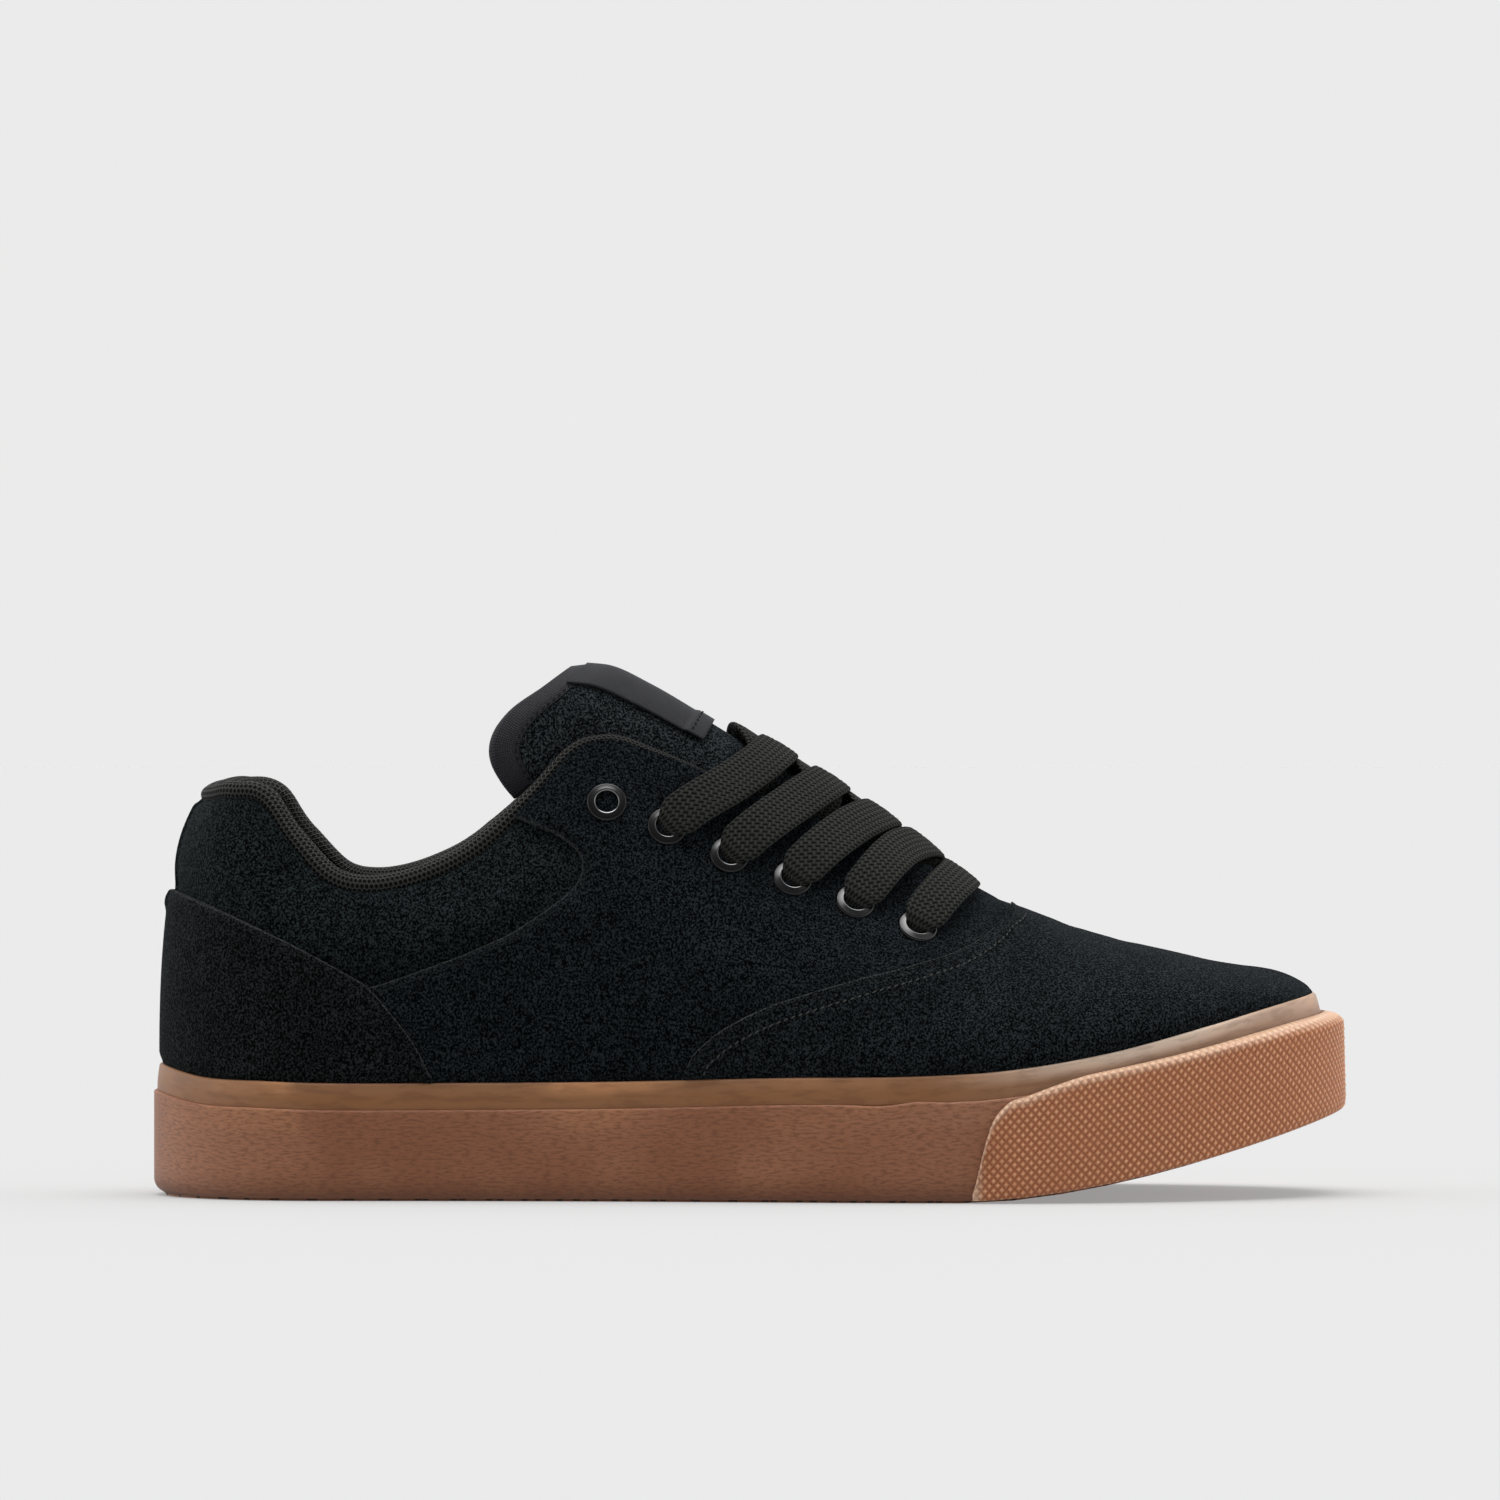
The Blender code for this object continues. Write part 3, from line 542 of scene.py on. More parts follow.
def suedeLook(name, settings):  # a short nap in tufts; the vertex value marks cut edges, which are painted paler as a highlight
    look = Look(name, **{"Sheen Roughness": 0.4, "Specular IOR Level": 0.03})
    look.feed("Sheen Weight", settings["sheen"])
    look.feed("Sheen Tint", settings["sheenTint"])
    spot = look.coords()
    nap = look.noise(look.scaled(spot, (1.0, 1.0, settings["napStretch"])), 1000 / settings["nap"], 2.0, 0.5)
    fuzz = look.noise(spot, 1000 / settings["fuzz"], 1.0)
    patches = look.noise(spot, 1000 / settings["patch"], 2.0)
    light = (nap * 0.8 + fuzz * 0.2).clip(0.42, 0.64) * (patches.clip(0.25, 0.75) * 0.3 + 0.85)
    ground = look.mix(light, settings["deep"], settings["fleck"])
    cut = look.level()
    # painted highlight: cut edges take a paler colour, standing for light catching them
    look.feed("Base Color", look.mix(cut * (light * 0.7 + 0.2), ground, settings["cutEdgeHighlight"]))
    look.feed("Roughness", 0.95 - light * 0.15)
    look.feed("Normal", look.bump(nap * 0.75 + fuzz * 0.25, settings["depth"]))
    return look


suede = {
    "nap": 0.5,
    "napStretch": 0.85,
    "fuzz": 0.22,
    "patch": 16.0,
    "depth": 0.7,
    "sheen": 0.03,
    "sheenTint": (0.6, 0.75, 0.8, 1.0),
    "deep": tint(2, 3, 4),
    "fleck": tint(40, 46, 49),
    # the colour of the painted highlight on cut edges
    "cutEdgeHighlight": tint(66, 68, 68),
}
vampFinish = suedeLook("black_suede_vamp", suede)
upperFinish = suedeLook("black_suede_upper", dict(suede, deep=tint(1, 2, 3), fleck=tint(40, 47, 49)))
quarterFinish = suedeLook("black_suede_quarter", dict(suede, deep=tint(0, 1, 2), fleck=tint(36, 42, 46)))
counterFinish = suedeLook("black_suede_counter", dict(suede, deep=tint(1, 1, 1), fleck=tint(38, 41, 42)))
# the tongue is a lighter copy of the same suede, painted light
tongueLitFinish = suedeLook("black_suede_tongue_painted_lighter", dict(suede, deep=tint(3, 4, 5), fleck=tint(54, 60, 63)))


def knitLook(name, pitch, colourDeep, colourTop):  # a spacer knit whose cells have the given size in mm
    look = Look(name, **{"Specular IOR Level": 0.1})
    u, v = look.cells(*pitch)
    row = v.use("FLOOR") * 0.5
    cellU = (u + row).use("FRACT") - 0.5
    cellV = v.use("FRACT") - 0.5
    hole = ((cellU * 2.2) ** 2.0 + (cellV * 2.0) ** 2.0).use("SQRT")
    thread = hole.clip(0.55, 0.95)
    slant = ((u * 2.0 + v) * (2 * math.pi)).use("SINE") * 0.2
    look.feed("Base Color", look.mix(thread * (slant + 0.8), colourDeep, colourTop))
    look.feed("Roughness", 0.7 - thread * 0.2)
    look.feed("Normal", look.bump(thread + slant, 0.55))
    return look


collar = {
    "pitch": (1.15, 0.95),
    "deep": tint(0, 0, 0),
    "top": tint(62, 62, 60),
    "roll": 2.3,
    "foam": (1.8, 1.6),
    "lip": (0.2, 1.6),
    "front": 112.0,
    "frontFade": 24.0,
    "bottom": 0.55,
    "bottomFade": 0.35,
    "swellPower": 1.5,
}
knitFinish = knitLook("black_knit", collar["pitch"], collar["deep"], collar["top"])


# Upper
def collarSwell(w, up):  # foam in the collar: full at its edge, gone half way down and at the eyestay
    x = loopX(w)
    ahead = np.clip((collar["front"] - x) / collar["frontFade"], 0, 1)
    return ahead * np.clip((up - collar["bottom"]) / collar["bottomFade"], 0, 1) ** collar["swellPower"]


def wallThick(w, up):
    return shoe["wall"] + (shoe["collarWall"] - shoe["wall"]) * collarSwell(w, up)


relief = {
    "strip": 0.7,
    "stripWide": 3.2,
    "stripSoft": 0.7,
    "stripFront": (14, 18),
    "stripFoot": (70, 73),
    "turnIn": 1.0,
    "hookGroove": 1.4,
    "counterGroove": 0.8,
    "grooveWide": 4.0,
    "grooveLap": 1.5,
    "hookSpan": (53, 91),
    "counterSpan": (-4, 56),
}
# Foam in the collar panel, seen from the side: middle, half length, half height, swell
foamTable = table("x z along high swell", (66.0, 67.0, 30.0, 10.0, 1.9), (8.0, 88.0, 26.0, 9.0, 0.9))
# Soft creases, seen from the side: middle, half length, half width, turn in degrees from level, depth
creaseTable = table(
    "x z along wide turn depth",
    (146.0, 66.0, 15.0, 5.0, -34.0, 0.45),
    (176.0, 61.0, 14.0, 4.0, -28.0, 0.35),
    (190.0, 44.0, 18.0, 5.0, 18.0, 0.4),
    (222.0, 54.0, 15.0, 3.6, 62.0, 0.35),
    (236.0, 52.0, 13.0, 4.0, 58.0, 0.3),
    (96.0, 76.0, 10.0, 4.0, 48.0, 0.5),
    (60.0, 38.0, 18.0, 6.0, 8.0, 0.35),
    (30.0, 84.0, 9.0, 3.5, -62.0, 0.45),
    (112.0, 50.0, 24.0, 7.0, 22.0, 0.4),
)


def creases(x, z):  # troughs with a low ridge along each side
    total = 0 * x
    for cx, cz, along, wide, turn, depth in zip(*creaseTable.values()):
        c, s = math.cos(math.radians(turn)), math.sin(math.radians(turn))
        far = ((x - cx) * c + (z - cz) * s) / along
        off = ((z - cz) * c - (x - cx) * s) / wide
        total = total - depth * (1 - 1.2 * off**2) * np.exp(-(off**2) - far**2)
    return total


def seamDistance(points, xs, zs):  # distance in the side view from a line
    far = np.full(points.shape[:-1], 1e9)
    for x, z in zip(xs, zs):
        far = np.minimum(far, (points[..., 0] - x) ** 2 + (points[..., 2] - z) ** 2)
    return np.sqrt(far)


def seamGroove(points):  # the foam is pinched where the quarter and the counter are sewn down on it
    x, z = points[..., 0], points[..., 2]
    zs = np.linspace(*relief["hookSpan"], 120)
    xs = np.linspace(*relief["counterSpan"], 90)
    hook = seamDistance(points, hookAt(zs), zs)
    counter = seamDistance(points, xs, counterAt(xs))
    panel = (x < hookAt(z)) & (z > counterAt(x))
    wide = np.where(panel, relief["grooveWide"], relief["grooveLap"])
    hookDip = relief["hookGroove"] * hump(hook, 0, wide)
    return np.maximum(hookDip, relief["counterGroove"] * hump(counter, 0, wide))


def raised(points):  # foam in the collar panel between its seams, the strip up the heel, and the creases
    x, y, z = points[..., 0], points[..., 1], points[..., 2]
    foam = 0 * x
    for cx, cz, along, high, swell in zip(*foamTable.values()):
        foam = foam + swell * np.exp(-(((x - cx) / along) ** 2) - (((z - cz) / high) ** 2))
    near = 1 - ease(abs(y - middle(x)), relief["stripWide"], relief["stripWide"] + relief["stripSoft"])
    strip = relief["strip"] * near * (1 - ease(x, *relief["stripFront"])) * ease(z, *relief["stripFoot"])
    return foam + strip + creases(x, z) - seamGroove(points)


def offSkin(w, up, out):
    base = skin(w, up)
    return base + skinOut(w, up) * (out + raised(base))[..., None]


def medialShare(w):  # 0 on the lateral side, 1 on the medial side, soft round the heel
    return 1 - ease(np.mod(np.asarray(w, float) + 1, 2) - 1, -0.1, 0.1)


def topEdge(w):  # place, way out and way up at the upper's top edge
    here = skin(w, 1.0)
    out = skinOut(w, 0.985)
    way = unit(skin(w + 0.003, 1.0) - skin(w - 0.003, 1.0))
    rise = unit(np.cross(out, way))
    lateral, medial = collar["lip"]
    lip = collarSwell(w, 1.0) * (lateral + (medial - lateral) * medialShare(w))
    return here + rise * lip[..., None], out, rise


shell = {
    "columns": 220,
    "heelColumns": 46,
    "rows": 80,
    "heel": 0.06,
    "toe": 0.999,
    "turnFrom": 0.965,
    "throat": 212.0,
    "rimIn": 0.3,
    "inside": 1.6,
    "innerStep": 4,
}


def makeUpper():
    side = np.linspace(shell["heel"], shell["toe"], shell["columns"])
    heel = np.linspace(-shell["heel"], shell["heel"], shell["heelColumns"])[1:-1]
    ws = np.concatenate([-side[::-1], heel, side])
    ups = np.linspace(0.0, 1.0, shell["rows"])
    w, up = np.meshgrid(ws, ups, indexing="ij")
    turnedIn = relief["turnIn"] * ease(up, shell["turnFrom"], 1.0) * collarSwell(w, 1.0)
    outer = offSkin(w, up, -turnedIn)
    edge, out, rise = topEdge(ws)
    atMouth = (splitLoop(ws)[0] < station(shell["throat"]))[:, None]
    rim = np.where(atMouth, edge - out * shell["rimIn"], outer[:, -1])
    inner = offSkin(w, up, 0 * w - shell["inside"])[:, :: -shell["innerStep"]]
    rings = np.concatenate([outer, rim[:, None], inner], 1)
    return finishPiece("upper_suede", tube(rings), upperFinish, ["upper"])


makeUpper()


# Panels over the upper
panels = {
    "edgeRows": (0.0, 0.1, 0.22, 0.4, 0.7, 1.2, 2.0, 3.2),
    "quarter": 1.1,
    "vamp": 1.2,
    "counter": 1.2,
    "seat": 0.02,
    "edgeRound": 0.55,
    "cutFrom": 0.3,
    "cutTo": 0.6,
    "lap": 0.6,
    "lapFade": (3, 12),
    "skived": 0.9,
    "tucked": 0.35,
    "tuck": (-0.5, 3.0),
}
behindFoxing = shoe["foxShare"] - 0.01
onQuarter = shoe["gap"] + panels["quarter"]


def edgeHeight(distance, full, seat):  # a cut edge, rounded over part of its own thickness
    share = np.clip(distance / panels["edgeRound"], 0, 1)
    return seat + (full - seat) * np.sqrt(1 - (1 - share) ** 2)


def cutMark(distance):  # 1 on a cut edge, 0 on the face behind it
    return 1 - ease(distance, panels["cutFrom"], panels["cutTo"])


def tuckShare(points):  # panels get thin where they go down behind the foxing
    rise = points[..., 2] - foxingTop(points[..., 0])
    return panels["tucked"] + (1 - panels["tucked"]) * ease(rise, *panels["tuck"])


def upOfSeam(w, line):  # where each column of the upper crosses a seam that is a height for each x
    ups = np.linspace(shoe["foxShare"], 1, 240)
    spots = skin(w[:, None], ups)
    over = spots[..., 2] - column(line, "z", spots[..., 0])
    first = np.argmax(over > 0, 1)
    found = np.full(len(w), 1.0)
    for i, k in enumerate(first):
        if over[i, k] > 0 and k > 0:
            share = over[i, k - 1] / (over[i, k - 1] - over[i, k])
            found[i] = ups[k - 1] + (ups[k] - ups[k - 1]) * share
        elif over[i, k] > 0:
            found[i] = ups[0]
    return found


def ribLength(w, low, high):
    steps = np.linspace(0, 1, 40)
    spots = skin(w[:, None], low[:, None] + (high - low)[:, None] * steps)
    return np.linalg.norm(np.diff(spots, axis=1), axis=2).sum(1)


def columnPanel(ws, line, rows, thick, lapOf):  # lapOf gives how far each column's edge lies on a panel below
    low = np.full(len(ws), behindFoxing)
    high = np.maximum(upOfSeam(ws, line), low + 0.004)
    lap = lapOf(ws, high)[:, None]
    span = ribLength(ws, low, high)
    even = np.linspace(0, 1, rows)
    sheet = []
    for a, b, length in zip(low, high, span):
        close = [1 - d / max(length, 8.0) for d in panels["edgeRows"]]
        shares = np.concatenate([even * close[-1], close[::-1][1:]])
        sheet.append(a + (b - a) * shares)
    up = np.array(sheet)
    w = np.broadcast_to(ws[:, None], up.shape)
    away = (1 - (up - low[:, None]) / np.maximum(high - low, 1e-6)[:, None]) * span[:, None]
    edged = ease(1 - high, 0.0, 0.004)[:, None]
    away = away + (1 - edged) * 9
    base = skin(w, up)
    skived = panels["skived"] * ease(base[..., 0], 250, 268) * (1 - 0.6 * ease(base[..., 0], 272, 284))
    full = thick + shoe["gap"] - skived + panels["lap"] * lap * (1 - ease(away, *panels["lapFade"]))
    full = full * tuckShare(base)
    seat = (panels["seat"] + (onQuarter - 0.1) * lap) * tuckShare(base)
    height = edgeHeight(away, full, seat)
    outer = offSkin(w, up, height)
    inner = offSkin(w, up, np.minimum(seat, np.maximum(height - 0.3, panels["seat"])))
    cut = cutMark(away)
    return np.concatenate([outer, inner[:, ::-1]], 1), np.concatenate([cut, 0 * cut], 1)


def dropTwins(bm):  # faces that lie back to back where both sides of a piece meet
    bm.verts.index_update()
    found = {}
    for face in bm.faces:
        found.setdefault(frozenset(vert.index for vert in face.verts), []).append(face)
    twins = [face for same in found.values() if len(same) > 1 for face in same]
    bmesh.ops.delete(bm, geom=twins, context="FACES")


def vampLap(ws, high):  # the seam lies flatter where it goes over the ridge
    return 0.45 + 0.55 * ease(1 - high, 0.0, 0.1)


vampPanel = {
    "from": 131.9,
    "back": 200.0,
    "throat": 219.0,
    "columns": (100, 70, 100),
    "rows": 58,
    "weld": 0.03,
    "ridgeEnd": (264.0, 0.0, 54.0),
    "ridgeWeld": 0.15,
}


def makeVamp():
    marks = [station(vampPanel[key]) for key in ("from", "back", "throat")] + [1.0]
    spans = [np.linspace(*span)[1:] for span in zip(marks, marks[1:], vampPanel["columns"])]
    qs = np.concatenate([marks[:1], *spans])
    ws = np.concatenate([qs, (2 - qs)[::-1][1:]])
    points, cut = columnPanel(ws, vampSeam, vampPanel["rows"], panels["vamp"], vampLap)
    bm = bentSheet(points, wrap=True, value=closed(cut))
    weld(bm, vampPanel["weld"])
    ridgeEnd = place(vampPanel["ridgeEnd"])
    crowded = [vert for vert in bm.verts if vert.co.x > ridgeEnd[0] and vert.co.z > ridgeEnd[2]]
    bmesh.ops.remove_doubles(bm, verts=crowded, dist=vampPanel["ridgeWeld"] * mm)
    dropTwins(bm)
    capEnds(bm)
    return finishPiece("vamp_suede", bm, vampFinish, ["vamp"], recalc=True)


heelPanel = {"end": 71.4, "columns": 190, "rows": 46, "lap": (50, 58), "weld": 0.03}


def counterLap(ws, high):
    return ease(loopX(ws), *heelPanel["lap"])


def makeCounter():
    end = station(heelPanel["end"])
    ws = np.linspace(-end, end, heelPanel["columns"])
    points, cut = columnPanel(ws, counterSeam, heelPanel["rows"], panels["counter"], counterLap)
    bm = tube(points, heelPanel["weld"], value=closed(cut))
    return finishPiece("heel_counter_suede", bm, counterFinish, ["heel_counter"], recalc=True)


def hookLimits(ws):  # where each column leaves the quarter below the hook and enters it again above
    ups = np.linspace(shoe["foxShare"], 1, 500)
    spots = skin(ws[:, None], ups)
    out = spots[..., 0] < hookAt(spots[..., 2])
    out &= spots[..., 2] > hookSeam["z"][0]
    lower = np.where(out.any(1), ups[np.argmax(out, 1)], np.nan)
    upper = np.where(out.any(1), ups[len(ups) - 1 - np.argmax(out[:, ::-1], 1)], np.nan)
    return lower, upper


quarterPanel = {
    "from": 50.0,
    "to": 218.4,
    "seek": (46.0, 114.0),
    "beforeTip": 5.0,
    "pastTip": 3.0,
    "joined": (212.5, 215.5),
    "under": 0.05,
    "topEdge": 0.2,
    "weld": 0.05,
}


def makeQuarter(side, name, node):  # four patches: low and high ahead of the hook, below it and above it
    seek = np.linspace(*(station(x) for x in quarterPanel["seek"]), 900)
    lower, upper = hookLimits(loopAt(side, seek))
    hooked = np.nonzero(~np.isnan(lower))[0]
    tip = seek[hooked[-1]]
    tipUp = (lower[hooked[-1]] + upper[hooked[-1]]) / 2
    tipX = footX(tip)
    beforeTip = np.linspace(station(tipX - quarterPanel["beforeTip"]), tip, 30)
    back = np.linspace(station(quarterPanel["from"]), beforeTip[0], 60)[:-1]
    back = np.concatenate([back, beforeTip])
    lowTop = np.interp(back, seek[hooked], lower[hooked])
    lowTop[-1] = tipUp
    inside = hooked[upper[hooked] < 0.999]
    horn = np.concatenate([np.linspace(seek[inside[0]], beforeTip[0], 30)[:-1], beforeTip])
    hornUp = np.interp(horn, seek[inside], upper[inside])
    hornUp[-1] = tipUp
    pastTip = np.linspace(tip, station(tipX + quarterPanel["pastTip"]), 20)
    front = np.linspace(pastTip[-1], station(quarterPanel["to"]), 140)
    front = np.concatenate([pastTip[:-1], front])
    seam = upOfSeam(loopAt(side, front), vampSeam) - quarterPanel["under"]
    seam = np.maximum(seam, behindFoxing)
    # past the throat both quarters meet on the ridge, so their top edge isn't rounded there
    joined = 3 * ease(footX(front), *quarterPanel["joined"])[:, None]
    knee = (tipUp - seam[0]) / (1 - seam[0])
    close = np.array([1 - d / 30 for d in panels["edgeRows"]])[::-1]
    rise = np.concatenate([np.linspace(0, close[0], 40)[:-1], close])
    crest = np.concatenate([(1 - close)[::-1], np.linspace(1 - close[0], close[0], 26)[1:-1], close])
    hookZ = np.linspace(52, 95, 900)
    hookX = hookAt(hookZ)

    def patch(qs, low, high, shares, hookRow=None, top=None):  # hookRow is the row that lies on the hook
        up = low[:, None] + (high - low)[:, None] * shares
        w = np.broadcast_to(loopAt(side, qs)[:, None], up.shape)
        base = skin(w, up)
        away = np.minimum(seamDistance(base, hookX, hookZ), 9.0)
        if hookRow is not None:
            away[:, hookRow] = 0
        cut = cutMark(away)
        if top is not None:
            away = np.minimum(away, np.linalg.norm(base - base[:, -1:], axis=-1) + top)
        height = edgeHeight(away, onQuarter * tuckShare(base), panels["seat"])
        points = offSkin(w, up, height)
        return (points, cut) if side < 0 else (points[::-1], cut[::-1])

    atTop = quarterPanel["topEdge"]
    middleUp = seam + (1 - seam) * knee
    patches = (
        patch(front, seam, middleUp, rise),
        patch(front, middleUp, 0 * front + 1.0, crest, top=atTop + joined),
        patch(back, 0 * back + behindFoxing, lowTop, rise, hookRow=-1),
        patch(horn, hornUp, 0 * horn + 1.0, crest, hookRow=0, top=atTop),
    )
    sheets = [bentSheet(points, value=cut) for points, cut in patches]
    bm = sheets[0]
    for sheet in sheets[1:]:
        joinSheet(bm, sheet)
    weld(bm, quarterPanel["weld"])
    return finishPiece(name, bm, quarterFinish, [node], panels["quarter"])


makeVamp()
makeCounter()
makeQuarter(-1, "quarter_suede_lateral", "quarter_lateral")
makeQuarter(1, "quarter_suede_medial", "quarter_medial")


# Collar roll and the lining behind it
lining = {
    "end": 206.0,
    "heel": 0.2,
    "fade": (118, 146),
    "turns": (-65, 190),
    "ups": (0.96, 0.12),
    "clear": 0.15,
}


def makeLining():
    along = np.linspace(lining["heel"], station(lining["end"]), 150)
    heel = np.linspace(-lining["heel"], lining["heel"], 160)[1:-1]
    ws = np.concatenate([-along[::-1], heel, along])
    x = loopX(ws)
    edge, out, rise = topEdge(ws)
    swell = collarSwell(ws, 1.0)
    half = wallThick(ws, 1.0) / 2
    lateral, medial = collar["foam"]
    foam = (lateral + (medial - lateral) * medialShare(ws)) * swell
    high = (collar["roll"] + foam) * (1 - 0.7 * ease(x, *lining["fade"]))
    centre = edge - out * half[:, None] + rise * (high * 0.3)[:, None]
    turns = np.radians(np.linspace(*lining["turns"], 28))
    rows = []
    for turn in turns:
        reach = (half + 0.6) * math.cos(turn)
        rows.append(centre + out * reach[:, None] + rise * (high * 0.7 * math.sin(turn))[:, None])
    for up in np.linspace(*lining["ups"], 34):
        level = np.full(len(ws), up)
        depth = wallThick(ws, level) + lining["clear"]
        rows.append(offSkin(ws, level, -depth - raised(skin(ws, level))))
    points = np.stack(rows, 1)
    bm = bentSheet(points[:, ::-1])
    bmesh.ops.reverse_faces(bm, faces=bm.faces)
    piece = finishPiece("collar_knit", bm, knitFinish, ["collar_binding"], 0.7)
    return piece


makeLining()


# Sole
sole = {
    "stations": 420,
    "tapeOut": 2.8,
    "stripeOut": 2.0,
    "bumperOut": 4.5,
    "clear": 0.6,
    "footRound": 1.6,
    "heelRound": 2.0,
    "topRound": 0.7,
    "stripeUnder": 0.8,
}


def rubberLook(name, settings):  # wrinkle grain along the band; painted shade low down, painted highlights along the top edge, and painted light toward the toe
    look = Look(name, **{"Specular IOR Level": settings["specular"]})
    spot = look.coords()
    stretched = look.scaled(look.coords("UV"), (1 / settings["long"], 1 / settings["fine"], 1.0))
    wrinkles = look.noise(stretched, 1.0, 3.0, 0.6)
    cloud = look.noise(spot, 1000 / settings["cloud"], 2.0)
    x, y, z = look.axes(spot)
    ground = look.mix(cloud.clip(0.3, 0.7), settings["deep"], settings["pale"])
    # painted light: the colour turns paler toward the toe end, where more light falls
    ahead = x.clip(settings["frontFrom"] * mm, settings["frontTo"] * mm)
    front = look.mix(ahead, ground, settings["front"])
    rest, v, rest = look.axes(look.coords("UV"))
    # painted highlights along the top edge: warm patches, then a pale rim that is weaker at the toe tip
    top = v.clip(*settings["glow"])
    front = look.mix(top * cloud.clip(0.5, 0.68) * settings["warmHighlightShare"], front, settings["warm"])
    tip = 1 - x.clip(settings["tipFrom"] * mm, settings["tipTo"] * mm) * 0.65
    front = look.mix(top * tip * (ahead * 0.95 + 0.05) * settings["highlightShare"], front, settings["rim"])
    grained = look.mix(wrinkles.clip(*settings["grain"]) * settings["grainShade"], front, settings["groove"])
    # painted shade: the colour darkens towards the tread, standing for shade near the floor
    paintedShade = (1 - z.clip(0.0, settings["dark"] * mm)) * 0.55
    look.feed("Base Color", look.mix(paintedShade, grained, settings["groove"]))
    look.feed("Roughness", settings["rough"] + wrinkles * 0.15)
    look.feed("Normal", look.bump(wrinkles, settings["depth"]))
    return look


gum = {
    "long": 2.2,
    "fine": 0.6,
    "grain": (0.56, 0.36),
    "cloud": 30.0,
    "depth": 0.22,
    "rough": 0.42,
    "specular": 0.3,
    "deep": tint(138, 88, 61),
    "pale": tint(152, 102, 74),
    # the paler colour toward the toe is painted light
    "front": tint(150, 100, 74),
    "groove": tint(84, 50, 33),
    "grainShade": 0.45,
    "tipFrom": 108.0,
    "tipTo": 132.0,
    # colours of the painted highlights on the top edge: warm patches and a pale rim
    "warm": tint(200, 140, 92),
    "warmHighlightShare": 0.15,
    "frontFrom": 10.0,
    "frontTo": 60.0,
    # the height band that takes the painted highlights
    "glow": (18.0, 21.0),
    "highlightShare": 0.25,
    "rim": tint(172, 126, 96),
    # height over which the painted shade low down fades out
    "dark": 8.0,
}
gumFinish = rubberLook("gum_rubber", gum)
paleGum = dict(
    gum,
    long=9.0,
    fine=2.0,
    depth=0.04,
    rough=0.36,
    deep=tint(136, 92, 58),
    pale=tint(140, 97, 64),
    warmHighlightShare=0.6,
    front=tint(156, 121, 96),
    grainShade=0.25,
    frontFrom=40.0,
    frontTo=95.0,
    # the stripe's painted highlights on its top edge are stronger
    glow=(4.4, 7.8),
    highlightShare=0.85,
    rim=tint(208, 188, 170),
)
paleGumFinish = rubberLook("pale_gum_rubber", paleGum)
bumper = {
    "across": 2.0,
    "rows": 2.35,
    "proud": 0.45,
    "rim": 0.6,
    # width of the pale top edge, painted as scuffs and highlight
    "wearAndHighlight": 3.0,
    "over": 1.7,
    "upright": 0.85,
    "round": 3.2,
}


def bumperLook(valleyShade, side, tip, rim):  # a lattice of small pyramids: painted shade in the valleys, tips painted paler as wear and highlight, and a pale top edge painted as scuffs and highlight; u runs along and v up
    look = Look("gum_bumper", **{"Specular IOR Level": 0.35})
    u, v, rest = look.axes(look.coords("UV"))
    across, rise = u / bumper["across"], v / bumper["rows"]
    first = ((across + rise).use("FRACT") - 0.5).use("ABSOLUTE")
    second = ((across - rise + 40.0).use("FRACT") - 0.5).use("ABSOLUTE")
    peak = 1 - first.use("MAXIMUM", second) * 2
    inside = look.level()
    cloud = look.noise(look.coords(), 1000 / 9.0, 2.0)
    ground = look.mix(peak.clip(0.02, 0.5), valleyShade, side)
    wearAndHighlight = look.mix(peak.clip(0.42, 0.85) * (cloud.clip(0.2, 0.7) * 0.5 + 0.5), ground, tip)
    look.feed("Base Color", look.mix((1 - inside) * (peak * 0.4 + 0.5), wearAndHighlight, rim))
    look.feed("Roughness", 0.46 - peak * 0.1)
    look.feed("Normal", look.bump(peak, 0.3))
    return look


# colours: painted shade in the valleys, the sides, tips with wear and painted highlight, top edge with scuffs
# and painted highlight
bumperFinish = bumperLook(tint(158, 93, 57), tint(184, 119, 81), tint(220, 168, 126), tint(226, 196, 168))


def ringBand(name, profile, look, node):  # profile gives out and height columns for each x
    ws = np.linspace(0, 2, sole["stations"], endpoint=False)
    x = loopX(ws)
    rows = [wallPoint(ws, z + 0 * x, out + 0 * x) for out, z in profile(x)]
    points = np.stack(rows, 1)
    points = np.concatenate([points, points[:1]], 0)
    bm = bentSheet(points, wrap=True)
    weld(bm)
    return finishPiece(name, bm, look, [node], recalc=True)


def tapeProfile(x):
    low, high = tread(x) + sole["clear"], tapeTop(x) - shoe["gap"]
    high = high + 0.5 * hump(x, 190, 4) - 0.4 * hump(x, 180, 6)
    out = sole["tapeOut"]
    turn = sole["footRound"] + sole["heelRound"] * (1 - ease(x, 4, 22))
    edge = sole["topRound"]
    face = [(out, low + turn + (high - edge - low - turn) * t) for t in np.linspace(0, 1, 16)[1:]]
    under = np.linspace(0.2, math.pi / 2, 8)
    over = np.linspace(0, math.pi / 2, 6)[1:]
    foot = [(out - turn + turn * math.sin(a), low + turn - turn * math.cos(a)) for a in under]
    top = [(out - edge + edge * math.cos(a), high - edge + edge * math.sin(a)) for a in over]
    return [(shoe["gap"], low), *foot, *face, *top, (shoe["gap"], high)]


